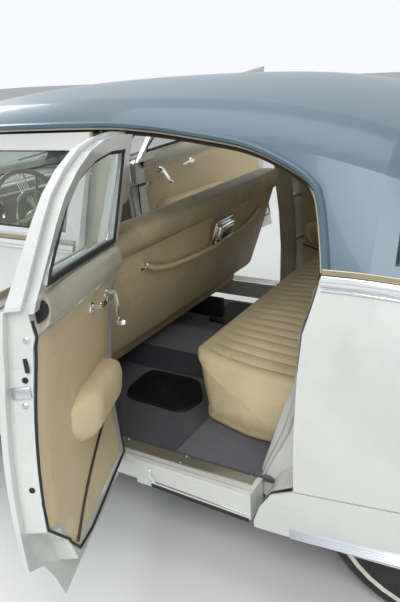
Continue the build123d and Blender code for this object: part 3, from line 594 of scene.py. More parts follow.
class StageSizes(bpy.types.PropertyGroup):
    """Where the camera stands and how bright the studio is."""

    camera_place: FloatVectorProperty(
        name="Camera place", description="Where the camera stands beside the open rear door",
        default=(-1.715, 2.267, 1.578), subtype="TRANSLATION", unit="LENGTH",
    )
    camera_yaw: FloatProperty(
        name="Yaw", description="Turn of the view from straight across the car towards its front",
        default=math.radians(30.82), subtype="ANGLE", unit="ROTATION",
    )
    camera_pitch: FloatProperty(
        name="Pitch", description="How far the camera looks down",
        default=math.radians(21.12), subtype="ANGLE", unit="ROTATION",
    )
    camera_roll: FloatProperty(
        name="Roll", description="Lean of the camera",
        default=math.radians(-3.11), subtype="ANGLE", unit="ROTATION",
    )
    lens: FloatProperty(name="Lens", description="Focal length in millimetres", default=36.53, min=10.0)
    daylight: FloatProperty(
        name="Daylight", description="Strength of the soft light all round", default=0.50, min=0.0,
    )
    key: FloatProperty(
        name="Key light", description="Power of the big soft light in watts", default=330.0, min=0.0,
    )


class CAR_OT_stage(bpy.types.Operator):
    """Floor, soft studio light and the camera beside the open rear door"""

    bl_idname = "car.stage"
    bl_label = "Stage"

    def execute(self, context):
        sizes = context.scene.car_stage
        self.camera(context, sizes)
        self.floor(context)
        self.lights(context, sizes)
        self.sky(context, sizes)
        context.scene.view_settings.view_transform = "Standard"
        return {"FINISHED"}

    def camera(self, context, sizes):
        yaw, pitch, roll = sizes.camera_yaw, sizes.camera_pitch, sizes.camera_roll
        ahead = Vector((math.sin(yaw) * math.cos(pitch), -math.cos(yaw) * math.cos(pitch), -math.sin(pitch)))
        right = ahead.cross(Vector((0, 0, 1))).normalized()
        up = right.cross(ahead)
        leaned_right = right * math.cos(roll) + up * math.sin(roll)
        leaned_up = up * math.cos(roll) - right * math.sin(roll)
        turn = Matrix((leaned_right, leaned_up, -ahead)).transposed()
        data = bpy.data.cameras.new("Camera")
        data.lens = sizes.lens
        data.clip_start = 0.05
        camera = bpy.data.objects.new("Camera", data)
        camera.matrix_world = Matrix.Translation(sizes.camera_place) @ turn.to_4x4()
        context.scene.collection.objects.link(camera)
        context.scene.camera = camera

    def floor(self, context):
        corners = [(x * FLOOR_REACH, y * FLOOR_REACH, 0) for x, y in ((-1, -1), (1, -1), (1, 1), (-1, 1))]
        mesh = bpy.data.meshes.new("floor")
        mesh.from_pydata(corners, [], [(0, 1, 2, 3)])
        floor = bpy.data.objects.new("floor", mesh)
        context.scene.collection.objects.link(floor)
        f = Finish("Pale studio floor")
        haze = f.noise(2.0, 3.0)
        base = f.mix(*FLOOR_TONES, haze)
        mesh.materials.append(f.surface(f.principled(Base_Color=base, Roughness=haze * 0.1 + 0.6)))

    def lights(self, context, sizes):
        for name, place, aim, width, height, share in LIGHTS:
            data = bpy.data.lights.new(name, "AREA")
            data.shape = "RECTANGLE"
            data.size = width
            data.size_y = height
            data.energy = sizes.key * share
            light = bpy.data.objects.new(name, data)
            light.location = place
            light.rotation_mode = "QUATERNION"
            light.rotation_quaternion = (Vector(place) - Vector(aim)).to_track_quat("Z", "Y")
            context.scene.collection.objects.link(light)

    def sky(self, context, sizes):
        """Full strength where the camera, a mirror or a pane looks at it, and dimmer as light."""
        context.scene.world = bpy.data.worlds.new("Studio")
        f = Finish("Studio", context.scene.world)
        kinds = ("Camera", "Glossy", "Transmission")
        camera, glossy, through = (f.node("ShaderNodeLightPath", output=f"Is {kind} Ray") for kind in kinds)
        seen = camera.maths("MAXIMUM", camera.maths("MAXIMUM", camera, glossy), through)
        strength = f.node("ShaderNodeMapRange", {}, {"Value": seen, "To Min": sizes.daylight, "To Max": 1.0})
        light = f.node("ShaderNodeBackground", {}, {"Color": SKY_COLOUR, "Strength": strength})
        f.surface(light, "ShaderNodeOutputWorld")


# Paint and the finish of every CAD node

class PaintSizes(bpy.types.PropertyGroup):
    """Colours of the car."""

    body_colour: FloatVectorProperty(
        name="Body", description="Enamel below the belt",
        default=(0.66, 0.675, 0.65), subtype="COLOR", min=0, max=1,
    )
    roof_colour: FloatVectorProperty(
        name="Roof", description="Metallic enamel above the belt",
        default=(0.082, 0.130, 0.165), subtype="COLOR", min=0, max=1,
    )
    leather_colour: FloatVectorProperty(
        name="Leather", description="Hide of the seats",
        default=(0.68, 0.56, 0.345), subtype="COLOR", min=0, max=1,
    )


# finish of each CAD node, by how its name starts
NODE_FINISHES = [
    ("door_", "body"), ("front_fender", "body"), ("quarter", "body"), ("hood", "body"),
    ("trunk_lid", "body"), ("rear_deck", "body"), ("tail_panel", "body"), ("cowl", "body"),
    ("rear_skirts", "body"), ("rockers", "body"), ("wheel_", "body"), ("roof", "roof"),
    ("glass_", "glass"), ("fixed_glass", "glass"),
    ("b_pillars", "cream"), ("dashboard", "cream"), ("steering_column", "ivory"), ("floor_pan", "carpet"),
    ("front_seat", "leather"), ("rear_seat", "leather"),
    ("trunk_floor", "chassis"), ("chassis_frame", "chassis"), ("front_suspension", "chassis"),
    ("rear_axle", "chassis"), ("engine_block", "iron"), ("driveline", "iron"), ("knuckle_", "iron"),
    ("exhaust", "exhaust"), ("grille", "chrome"), ("bumpers", "chrome"), ("headlamps", "lens"),
    ("taillamps", "red"), ("tyre_", "tyre"),
]


class CAR_OT_paint(bpy.types.Operator):
    """Makes the finishes and gives one to every carried-over CAD node"""

    bl_idname = "car.paint"
    bl_label = "Paint"

    def execute(self, context):
        make_finishes(context.scene.car_paint)
        for name, node in NODES.items():
            finish = next((value for start, value in NODE_FINISHES if name.startswith(start)), None)
            if finish is None:
                raise RuntimeError(f"no finish for CAD node {name}")
            node.data.materials.clear()
            node.data.materials.append(FINISHES[finish])
        return {"FINISHED"}


# Places on the car, as (x, z) points of the side view

JOINTS = {joint["name"]: joint for joint in frame["joints"]}
# a point inside the cabin, which outward faces look away from
CABIN = Vector((-0.35, 0.0, 0.95))
REAR_SEAL = [
    (-0.478, 0.378), (-1.005, 0.378), (-1.058, 0.392), (-1.108, 0.434), (-1.158, 0.462), (-1.164, 0.75),
    (-1.168, 0.92), (-1.185, 0.985), (-1.197, 1.04), (-1.196, 1.12), (-1.168, 1.22), (-1.130, 1.258),
    (-1.066, 1.302), (-0.960, 1.345), (-0.805, 1.374), (-0.64, 1.390), (-0.475, 1.396),
]
FRONT_SEAL = [
    (0.622, 0.378), (-0.404, 0.378), (-0.416, 0.40), (-0.416, 1.394), (0.0, 1.382), (0.292, 1.350),
    (0.372, 1.322), (0.584, 1.062),
]
SEALS = {"front": FRONT_SEAL, "rear": REAR_SEAL}
REAR_OPENING = [
    (-1.086, 0.375), (-1.123, 0.43), (-1.190, 0.468), (-1.199, 0.748), (-1.202, 0.921), (-1.219, 0.988),
    (-1.231, 1.045), (-1.219, 1.128), (-1.188, 1.226), (-1.156, 1.274), (-1.086, 1.318), (-0.975, 1.360),
    (-0.812, 1.386), (-0.646, 1.404), (-0.455, 1.410),
]
FRONT_OPENING = [(-0.455, 1.410), (0.0, 1.398), (0.298, 1.368), (0.386, 1.332), (0.604, 1.070)]


def door_place(key):
    """Takes a closed left door's frame to where this door stands at rest."""
    joint = JOINTS[f"door_{key}_hinge"]
    centre = Vector(joint["pos_m"])
    turn = Matrix.Rotation(-math.radians(joint["range_deg"][0]), 4, Vector(joint["axis"]))
    place = Matrix.Translation(centre) @ turn @ Matrix.Translation(-centre)
    return place @ MIRROR if key.endswith("right") else place


def rims(name, place=Matrix.Identity(4), outward=True, gap=0.014, facing=0.3, fewest=6):
    """The edges of a pane's outer or inner faces, as closed runs of points, longest first."""
    back = place.inverted()
    sign = (1 if outward else -1) * (1 if back.determinant() > 0 else -1)
    mesh = NODES[name].data
    spots, index, ids, uses = [], {}, [], {}
    for vertex in mesh.vertices:
        point = back @ vertex.co
        key = tuple(round(c, 4) for c in point)
        if key not in index:
            index[key] = len(spots)
            spots.append(point)
        ids.append(index[key])
    for polygon in mesh.polygons:
        corners = [ids[i] for i in polygon.vertices]
        a, b, c = (spots[i] for i in corners[:3])
        normal = (b - a).cross(c - a).normalized() * sign
        if normal.dot(((a + b + c) / 3 - CABIN).normalized()) < facing:
            continue
        for i, corner in enumerate(corners):
            pair = frozenset((corner, corners[(i + 1) % len(corners)]))
            uses[pair] = uses.get(pair, 0) + 1
    links = {}
    for pair, count in uses.items():
        if count == 1 and len(pair) == 2:
            a, b = pair
            links.setdefault(a, set()).add(b)
            links.setdefault(b, set()).add(a)
    loops = []
    while links:
        here = next(iter(links))
        run = [here]
        while links.get(here):
            ahead = links[here].pop()
            links[ahead].discard(here)
            if not links[here]:
                del links[here]
            here = ahead
            run.append(here)
        links.pop(here, None)
        kept = [spots[run[0]]]
        for i in run[1:-1]:
            if (spots[i] - kept[-1]).length > gap:
                kept.append(spots[i])
        if len(kept) >= fewest:
            loops.append(kept)
    return sorted(loops, key=lambda loop: -sum((b - a).length for a, b in zip(loop, loop[1:])))


def dense(loop, step=0.03):
    """The closed path with points added so that none lie far apart."""
    points = [Vector(p) for p in loop]
    out = []
    for a, b in zip(points, points[1:] + points[:1]):
        parts = max(1, int((b - a).length / step))
        out += [a.lerp(b, i / parts) for i in range(parts)]
    return out


def cabin_ups(path, outward):
    """The way out of the cabin, or into it, at each point of a path."""
    return [(p - CABIN).normalized() * (1 if outward else -1) for p in path]


def flat_section(width, height, edge=0.3):
    """Low strip with eased edges."""
    lip = height * edge
    return [
        (width / 2, 0.0), (width / 2, height - lip), (width / 2 - lip, height), (-width / 2 + lip, height),
        (-width / 2, height - lip), (-width / 2, 0.0),
    ]


def screw(centre, axis, radius=0.006):
    """Domed screw head with a cross cut shown by its low centre."""
    head = [(0.0, 1.0), (0.0015, 1.0), (0.003, 0.7), (0.0026, 0.25)]
    profile = [(along, radius * share) for along, share in head] + [(0.0026, TIP)]
    return lathe(profile, centre, axis, 14)


# Outside

DRIP_LINE = [
    (0.618, 1.086), (0.510, 1.221), (0.402, 1.352), (0.304, 1.388), (0.0, 1.410), (-0.455, 1.422),
    (-0.646, 1.416), (-0.813, 1.398), (-0.976, 1.372), (-1.089, 1.331), (-1.166, 1.288), (-1.200, 1.234),
    (-1.230, 1.128), (-1.243, 1.072),
]
DRIP_SECTION = [
    (0.008, -0.004), (0.010, 0.010), (0.006, 0.018), (-0.002, 0.020), (-0.009, 0.012), (-0.010, -0.004),
]
DRIP_STEP = 0.004
# how far the pale edge stands ahead of the rail at the quarter, outside it, and below it over the doors
DRIP_EDGE = Vector((0.012, 0.004, -0.010))
# where the drip rail turns down the rear quarter: it no longer lifts, it steps back, its edge moves inside
DRIP_LIFT_X, DRIP_BACK_X, DRIP_EDGE_X = -1.15, -1.18, -1.19

BELT_LINE = [
    (-1.243, 1.060), (-1.34, 1.061), (-1.46, 1.056), (-1.60, 1.046), (-1.75, 1.030), (-1.895, 1.004),
]
BELT_UP = Vector((0.0, 1.0, 0.2))
BELT_ENDS = {"front": (-0.446, 0.628), "rear": (-1.216, -0.464)}
BELT_SEAT = 0.001

HANDLE_X = {"front": -0.33, "rear": -1.07}
HANDLE_Z = 0.885
HANDLE_FEET = 0.075
HANDLE_GRIP = [(HANDLE_FEET, 0.006), (0.055, 0.030), (0.0, 0.036), (-0.055, 0.030), (-HANDLE_FEET, 0.006)]
HANDLE_SECTION = [
    (0.006, 0.011), (-0.006, 0.011), (-0.008, 0.0), (-0.006, -0.011), (0.006, -0.011), (0.008, 0.0),
]
BUTTON_X = -0.112

SKIRT_START_X, SKIRT_LENGTH, SKIRT_Z = -1.185, 0.87, 0.290
# how far the skirt moulding climbs over its first part, and sinks over its last half
SKIRT_RISE, SKIRT_SINK = 0.028, 0.012
SKIRT_GROOVES = (-0.0138, -0.0046, 0.0046, 0.0138)
ROCKER_ENDS = ((-1.040, 0.276), (-0.680, 0.286))
ROCKER_HOOK = [(-0.680, 0.0, 0.336), (-0.680, 0.007, 0.330), (-0.682, 0.008, 0.312), (-0.694, 0.006, 0.292)]

# shortest run of points that is the rim of a pane
PANE_POINTS = 12

HEADLAMP_RIM = [
    (-0.026, 0.104), (-0.012, 0.104), (0.0, 0.100), (0.006, 0.092), (0.003, 0.084), (-0.010, 0.080),
]
TAILLAMP_RIM = [(-0.016, 0.054), (-0.004, 0.053), (0.003, 0.048), (0.0, 0.042)]
# node, way it looks, rim, lens height, radius and parts, facets round it, finish of the lens
LAMPS = {
    "headlamp": ("headlamps", 1, HEADLAMP_RIM, (0.020, 0.084, 7), 40, "lens"),
    "taillamp": ("taillamps", -1, TAILLAMP_RIM, (0.014, 0.043, 6), 32, "red"),
}

PLATE_Z, PLATE_SIZE = 0.440, (0.003, 0.305, 0.152)
PLATE_BOLT_Y = 0.089
GUARD_Y, GUARD_Z, GUARD_SIZE = 0.40, 0.445, (0.050, 0.062, 0.215)
SPEAR_STATIONS = (1.10, 1.35, 1.60, 1.85, 2.10, 2.26)
TRUNK_HANDLE_X = -2.50
# where each wiper's pivot and tip stand across the car, and how far forward
WIPERS = (("left", 0.46, 0.10), ("right", -0.06, -0.42))
WIPER_PIVOT_X, WIPER_TIP_X = 0.905, 0.805
WIPER_PIVOT = [(-0.03, 0.016), (0.004, 0.015), (0.012, 0.010), (0.014, TIP)]


class OutsideSizes(bpy.types.PropertyGroup):
    """Brightwork on the body."""

    belt_width: FloatProperty(
        name="Belt moulding", description="Height of the bright belt moulding", default=0.030, unit="LENGTH",
    )
    skirt_width: FloatProperty(
        name="Skirt moulding", description="Height of the ribbed skirt moulding",
        default=0.046, unit="LENGTH",
    )


class CAR_OT_outside(bpy.types.Operator):
    """Mouldings, drip rails, window frames, lamps, handles and plates on the body"""

    bl_idname = "car.outside"
    bl_label = "Outside"

    def execute(self, context):
        sizes = context.scene.car_outside
        self.drip_rails()
        self.belt(sizes)
        self.skirts(sizes)
        self.rockers()
        self.frames()
        for kind in LAMPS:
            self.lamps(kind)
        self.bumpers()
        self.spear()
        self.trunk_handle()
        self.wipers()
        return {"FINISHED"}

    def drip_rails(self):
        """Gutter over the doors, down the windshield post and the rear quarter, with a pale edge."""
        skin = Skin(["roof"])
        path = []
        for x, _, z in smooth_path(side_view(DRIP_LINE), 5):
            lift = DRIP_STEP if x > DRIP_LIFT_X else 0.0
            back = DRIP_STEP if x < DRIP_BACK_X else 0.0
            path.append(Vector((x - back, skin.side(x - 0.006, z + lift, 0.75), z)))
        ups = [Vector((0.0, 1.0, 0.25))] * len(path)
        make("drip_rails", both_sides(swept(path, DRIP_SECTION, ups)), "roof", "body")
        inner = []
        for p in path:
            ahead, below = (0.0, DRIP_EDGE.z) if p.x > DRIP_EDGE_X else (DRIP_EDGE.x, 0.0)
            inner.append(p + Vector((ahead, DRIP_EDGE.y, below)))
        make("drip_rail_edges", both_sides(swept(inner, arc_section(0.007, 0.006, 5), ups)), "cream", "body")

    def moulding(self, path, height, sizes):
        return swept(path, arc_section(sizes.belt_width, height), BELT_UP)

    def gold_strip(self, path, sizes):
        """The brass-toned strip that runs just over the belt moulding."""
        line = [p + Vector((0, -0.006, sizes.belt_width / 2 + 0.007)) for p in path]
        return swept(line, flat_section(0.014, 0.006), BELT_UP)

    def belt(self, sizes):
        """Moulding, gold strip and bead on the quarters, then moulding, strip and handle on each door."""
        skin = Skin(["quarter_left", "roof", "rear_deck"])
        path = smooth_path([(x, skin.side(x, z - 0.008, 0.87) + BELT_SEAT, z) for x, z in BELT_LINE], 8)
        make("belt_mouldings", both_sides(self.moulding(path, 0.011, sizes)), "chrome", "body")
        make("belt_gold_strips", both_sides(self.gold_strip(path, sizes)), "gold", "body")
        bead = [p + Vector((0, 0.001, -sizes.belt_width / 2 - 0.010)) for p in path]
        make("belt_beads", both_sides(swept(bead, arc_section(0.012, 0.007, 6), BELT_UP)), "steel", "body")
        for key in DOORS:
            row = key.split("_")[0]
            place = door_place(key)
            door = Skin([f"door_{key}"], place)
            line = [Vector((x, door.side(x, BELT_Z - 0.008, 0.88) + BELT_SEAT, BELT_Z))
                    for x in spread(*BELT_ENDS[row], 24)]
            pieces = (
                ("belt_moulding", self.moulding(line, 0.010, sizes), "chrome"),
                ("gold_strip", self.gold_strip(line, sizes), "gold"),
                ("handle", self.handle(door, HANDLE_X[row]), "chrome"),
            )
            for name, form, finish in pieces:
                make(f"door_{key}_{name}", moved(form, place), finish, f"door_{key}")

    def handle(self, door, x):
        """Pull handle with its two feet and the push button."""
        y = door.side(x, HANDLE_Z, 0.92)
        grip = smooth_path([(x + along, y + out, HANDLE_Z) for along, out in HANDLE_GRIP], 6)
        form = swept(grip, HANDLE_SECTION, (0, 0, 1))
        foot = [(0.0, 0.017), (0.004, 0.016), (0.009, 0.010)]
        feet = [lathe(foot, (x + way * HANDLE_FEET, y - 0.003, HANDLE_Z), (0, 1, 0), 20) for way in (-1, 1)]
        profile = [(0.0, 0.011), (0.010, 0.011), (0.013, 0.008), (0.014, TIP)]
        button = lathe(profile, (x + BUTTON_X, y - 0.003, HANDLE_Z), (0, 1, 0), 20)
        return joined(form, *feet, button)

    def skirts(self, sizes):
        """Ribbed moulding along the foot of the rear skirt, with dark grooves between its ribs."""
        skin = Skin(["rear_skirts"])
        path = []
        for t in spread(0.0, 1.0, 25):
            x = SKIRT_START_X - SKIRT_LENGTH * t
            z = SKIRT_Z + SKIRT_RISE * min(1.0, t * 2.6) - SKIRT_SINK * max(0.0, t - 0.5)
            path.append(Vector((x, skin.side(x, z, 0.93) + 0.0005, z)))
        form = swept(path, ribbed_section(sizes.skirt_width, 0.009, 5, 0.005), (0, 1, 0))
        make("skirt_mouldings", both_sides(form), "steel", "body")
        lines = []
        for drop in SKIRT_GROOVES:
            line = [p + Vector((0, 0.0042, drop)) for p in path]
            lines.append(swept(line, flat_section(0.0034, 0.0012), (0, 1, 0)))
        make("skirt_moulding_grooves", both_sides(joined(*lines)), "seal", "body")

    def rockers(self):
        """Bright strip, rubber and the small hook at its front, under each rear door."""
        (x0, z0), (x1, z1) = ROCKER_ENDS
        path = [Vector((x, SILL_Y, z)) for x, z in zip(spread(x0, x1, 8), spread(z0, z1, 8))]
        strip = swept(path, arc_section(0.012, 0.005, 6), (0, 1, 0))
        make("rocker_strips", both_sides(strip), "chrome", "body")
        band = swept([p - Vector((0, 0, 0.013)) for p in path], flat_section(0.014, 0.003), (0, 1, 0))
        make("rocker_rubbers", both_sides(band), "seal", "body")
        hook = smooth_path([(x, SILL_Y + out, z) for x, out, z in ROCKER_HOOK], 4)
        make("rocker_hooks", both_sides(swept(hook, round_section(0.003), (1, 0, 0))), "chrome", "body")

    def frames(self):
        """Bright reveal and rubber outside each fixed pane, and a painted garnish inside it."""
        for outward in (True, False):
            for loop in rims("fixed_glass", outward=outward):
                if len(loop) < PANE_POINTS:
                    continue
                name = "windshield" if sum(p.x for p in loop) > 0 else "backlight"
                path = dense(loop)
                ups = cabin_ups(path, outward)
                if outward:
                    out = [p + up * 0.012 for p, up in zip(path, ups)]
                    reveal = swept(out, arc_section(0.026, 0.009, 6), ups, loop=True)
                    make(f"{name}_reveal", reveal, "chrome", "body")
                    rubber_edge = swept(path, flat_section(0.030, 0.010), ups, loop=True)
                    make(f"{name}_rubber", rubber_edge, "seal", "body")
                else:
                    out = [p + up * 0.011 for p, up in zip(path, ups)]
                    garnish = swept(out, flat_section(0.040, 0.008), ups, loop=True)
                    make(f"{name}_inner_garnish", garnish, "cream", "body")

    def lamps(self, kind):
        """The rim and the domed lens of each lamp of a kind, centred on the end of its CAD node."""
        node, ahead, rim, lens_size, facets, finish = LAMPS[kind]
        low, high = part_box(node)
        face = high.x if ahead > 0 else low.x
        for side, sign in SIDES:
            centre = (face, sign * (high.y - (high.z - low.z) / 2), (low.z + high.z) / 2)
            glass = lathe(domed(*lens_size), centre, (ahead, 0, 0), facets)
            make(f"{kind}_{side}_rim", lathe(rim, centre, (ahead, 0, 0), facets), "chrome", "body")
            make(f"{kind}_{side}_lens", glass, finish, "body")

    def bumpers(self):
        """Blank plate with its bolts, and two guards, on each bumper."""
        low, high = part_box("bumpers")
        for name, face, ahead in (("front", high.x, 1), ("rear", low.x, -1)):
            plate = rounded_box((face + ahead * 0.006, 0, PLATE_Z), PLATE_SIZE, 0.0012, 2)
            make(f"{name}_plate", plate, "plate", "body", bevel=0.0004)
            bolts = [screw((face + ahead * 0.0075, way * PLATE_BOLT_Y, PLATE_Z), (ahead, 0, 0), 0.007)
                     for way in (-1, 1)]
            make(f"{name}_plate_bolts", joined(*bolts), "chrome", "body")
            for side, sign in SIDES:
                guard = rounded_box((face - ahead * 0.006, sign * GUARD_Y, GUARD_Z), GUARD_SIZE, 0.024, 4)
                make(f"{name}_bumper_guard_{side}", guard, "chrome", "body")

    def spear(self):
        """Bright ridge along the hood, thicker towards the front."""
        hood = Skin(["hood"])
        points = [(x, 0.0, hood.top(x, 0.0) + 0.002) for x in SPEAR_STATIONS]
        path = smooth_path(points, 6)
        form = swept(path, arc_section(0.020, 0.014), (0, 0, 1), scale=lambda t: 0.35 + 0.85 * t)
        make("hood_spear", form, "chrome", "hood")

    def trunk_handle(self):
        point, normal = Skin(["trunk_lid"]).hit((TRUNK_HANDLE_X, 0.0, 2.0), (0, 0, -1))
        grip = rounded_box(point + normal * 0.014, (0.030, 0.130, 0.024), 0.010, 3)
        make("trunk_handle", grip, "chrome", "trunk_lid")

    def wipers(self):
        """Arm with its pivot, and rubber blade, laid just over the glass and the cowl."""
        skin = Skin(["fixed_glass", "cowl"])
        for side, pivot_y, tip_y in WIPERS:
            path = [Vector((x, y, skin.top(x, y, 1.08) + 0.014))
                    for x, y in zip(spread(WIPER_PIVOT_X, WIPER_TIP_X, 8), spread(pivot_y, tip_y, 8))]
            arm = swept(path, rod_section(0.003, 0.002), (0, 0, 1))
            pivot = lathe(WIPER_PIVOT, path[0], (0.2, 0, 1), 20)
            make(f"wiper_{side}", joined(arm, pivot), "chrome", "body")
            under = [p - Vector((0, 0, 0.008)) for p in path[3:]]
            make(f"wiper_{side}_blade", swept(under, flat_section(0.005, 0.008), (0, 0, 1)), "seal", "body")


# Seats

# side views of the pads, as (x, z) corners
FRONT_BACK = [(-0.288, 0.512), (-0.452, 1.000), (-0.345, 1.010), (-0.160, 0.512)]
FRONT_ROLL = [(-0.440, 0.955), (-0.478, 0.992), (-0.474, 1.060), (-0.345, 1.060), (-0.330, 0.960)]
FRONT_CUSHION = [(-0.190, 0.400), (-0.200, 0.548), (0.322, 0.572), (0.315, 0.368)]
REAR_CUSHION = [(-0.722, 0.372), (-0.652, 0.628), (-1.190, 0.618), (-1.190, 0.470), (-1.104, 0.372)]
REAR_BACK = [(-1.182, 0.600), (-1.325, 1.040), (-1.440, 1.045), (-1.310, 0.575)]
# how far a pad's end is shrunk, ring by ring, until it closes
CAP_SIZES = (0.93, 0.80, 0.6, 0.4, 0.2, 0.01)
# distance between points along a pad's side view, and the shortest side that swells
PAD_STEP, PAD_SWELLS = 0.035, 0.05

RUNNER_Y, RUNNER_SIZE = 0.52, (0.46, 0.045, 0.110)
CORD_X, CORD_Y, CORD_Z = -0.440, 0.500, 0.892
CORD_WIDTH = 0.021
CORD_END = [(0.040, 0.016), (0.030, 0.017), (0.022, 0.012), (0.006, 0.010), (0.0, 0.013), (-0.006, 0.010),
            (-0.007, TIP)]
ASHTRAY_PLACE, ASHTRAY_LEAN = (-0.440, -0.085, 0.880), -0.31

# the wheelhouses beside the rear seat: centre in the side view, reach, and half the width between them
WHEELHOUSE_X, WHEELHOUSE_Z, WHEELHOUSE_REACH, WHEELHOUSE_Y = -1.575, 0.365, 0.415, 0.565
REAR_BACK_HALF = 0.665
HEEL_HALF = 0.60
# how far the front of the rear cushion leans forward for each metre of height
CUSHION_SLOPE = 0.273
HEEL_LINE = [(-0.748, 0.235), (-0.744, 0.300), (-0.738, 0.366)]


def clamped(value):
    """The value, kept from 0 to 1."""
    return max(0.0, min(1.0, value))


def wheel_room(x, z, wide):
    """Half the width of the rear seat, less where the wheelhouses stand."""
    gap = math.hypot(x - WHEELHOUSE_X, z - WHEELHOUSE_Z)
    return WHEELHOUSE_Y + (wide - WHEELHOUSE_Y) * clamped((gap - WHEELHOUSE_REACH) / 0.06)


def rear_cushion_half(x, z):
    """Half the width of the rear cushion: wider to the rear and below, with rounded front corners."""
    foot_x, foot_z = REAR_CUSHION[0]
    rearward = 0.058 * clamped((-0.70 - x) / 0.22)
    below = 0.012 * max(0.0, (0.60 - z) / 0.24)
    wide = wheel_room(x, z, HEEL_HALF + rearward + below)
    behind = max(0.0, foot_x + (z - foot_z) * CUSHION_SLOPE - x)
    corner = 0.024 + 0.060 * clamped((z - 0.38) / 0.22)
    if behind < corner:
        wide -= corner - math.sqrt(corner ** 2 - (corner - behind) ** 2)
    return wide


class Padding:
    """Upholstery across the car: a side view that swells between its corners, pleated, with rounded ends."""

    def __init__(self, profile, corner, half_at, crown=0.016, end=0.05, pitch=0.0, depth=0.007, pleated=None,
                 side=0.007):
        self.half_at, self.crown, self.end, self.depth, self.side = half_at, crown, end, depth, side
        self.pleated = pleated or (lambda p, n: False)
        outline = rounded_outline(profile, corner, 5)
        self.ring = []
        for a, b in zip(outline, outline[1:] + outline[:1]):
            length = (b - a).length
            parts = max(1, round(length / PAD_STEP)) if length > PAD_SWELLS else 1
            self.ring += [(a.lerp(b, i / parts), math.sin(math.pi * i / parts)) for i in range(parts)]
        points = [p for p, _ in self.ring]
        area = sum(p.x * q.y - q.x * p.y for p, q in zip(points, points[1:] + points[:1]))
        sign = 1 if area > 0 else -1
        self.normals = []
        for i in range(len(points)):
            along = points[(i + 1) % len(points)] - points[i - 1]
            self.normals.append(Vector((along.y, -along.x)).normalized() * sign)
        self.flip = sign < 0
        widest = max(half_at(p.x, p.y) for p in points)
        self.channels = round(2 * widest / pitch) if pitch else 0
        self.centre = sum(points, Vector((0, 0))) / len(points)

    def point(self, index, across, lift=0.0):
        """The surface at a place round the side view and a share of the way across, from -1 to 1."""
        (p, swell), n = self.ring[index], self.normals[index]
        half = self.half_at(p.x, p.y)
        near = max(0.0, half * (1 - abs(across)))
        inset = 0.0
        if near < self.end:
            inset = self.end * (1 - math.sqrt(max(0.0, 1 - (1 - near / self.end) ** 2)))
        out = self.crown * swell * (1 - across ** 4) - inset + lift
        if self.channels and self.pleated(p, n):
            wave = abs(math.sin(math.pi * self.channels * (across + 1) / 2))
            fade = min(1.0, near / self.end)
            out -= self.depth * (1 - math.sqrt(wave)) * fade
        return Vector((p.x + n.x * out, across * half, p.y + n.y * out))

    def nearest(self, x, z):
        """The place round the side view that lies nearest to x and z."""
        return min(range(len(self.ring)), key=lambda i: (self.ring[i][0] - Vector((x, z))).length)

    def across(self, x, z, lift=0.0, reach=0.97, steps=40):
        """A line across the piece, at the place of the side view nearest to x and z."""
        index = self.nearest(x, z)
        return [self.point(index, share, lift) for share in spread(-reach, reach, steps)]

    def around(self, share, lift=0.0):
        """A closed line round the piece at a share of the way across."""
        return [self.point(i, share, lift) for i in range(len(self.ring))]

    def form(self):
        """Rows across the piece, close together near its ends, closed by shrinking, bulging caps."""
        inner = self.channels * 6 if self.channels else 24
        widest = max(self.half_at(p.x, p.y) for p, _ in self.ring)
        edge = self.end / widest
        ends = [1 - edge * (1 - math.sin(angle)) for angle in spread(0.0, math.pi / 2, 6)]
        shares = [s for s in spread(-1.0, 1.0, inner) if abs(s) < 1 - edge] + ends + [-s for s in ends]
        rows = [[self.point(i, s) for i in range(len(self.ring))] for s in sorted(set(shares))]
        caps = []
        for size in CAP_SIZES:
            row = []
            for point in rows[-1]:
                x = self.centre.x + (point.x - self.centre.x) * size
                z = self.centre.y + (point.z - self.centre.y) * size
                row.append(Vector((x, self.half_at(x, z) + self.side * (1 - size ** 2), z)))
            caps.append(row)
        first = [[MIRROR @ p for p in row] for row in caps[::-1]]
        verts, faces = grid(first + rows + caps, closed=True)
        return verts, [face[::-1] for face in faces] if self.flip else faces


class SeatSizes(bpy.types.PropertyGroup):
    """The two bench seats."""

    pleat: FloatProperty(name="Pleat", description="Width of a sewn channel", default=0.062, unit="LENGTH")
    depth: FloatProperty(
        name="Pleat depth", description="How deep a channel's seam lies", default=0.009, unit="LENGTH",
    )
    crown: FloatProperty(name="Crown", description="Swell of the padding", default=0.018, unit="LENGTH")
    cord_sag: FloatProperty(
        name="Cord sag", description="How low the robe cord hangs", default=0.062, unit="LENGTH",
    )


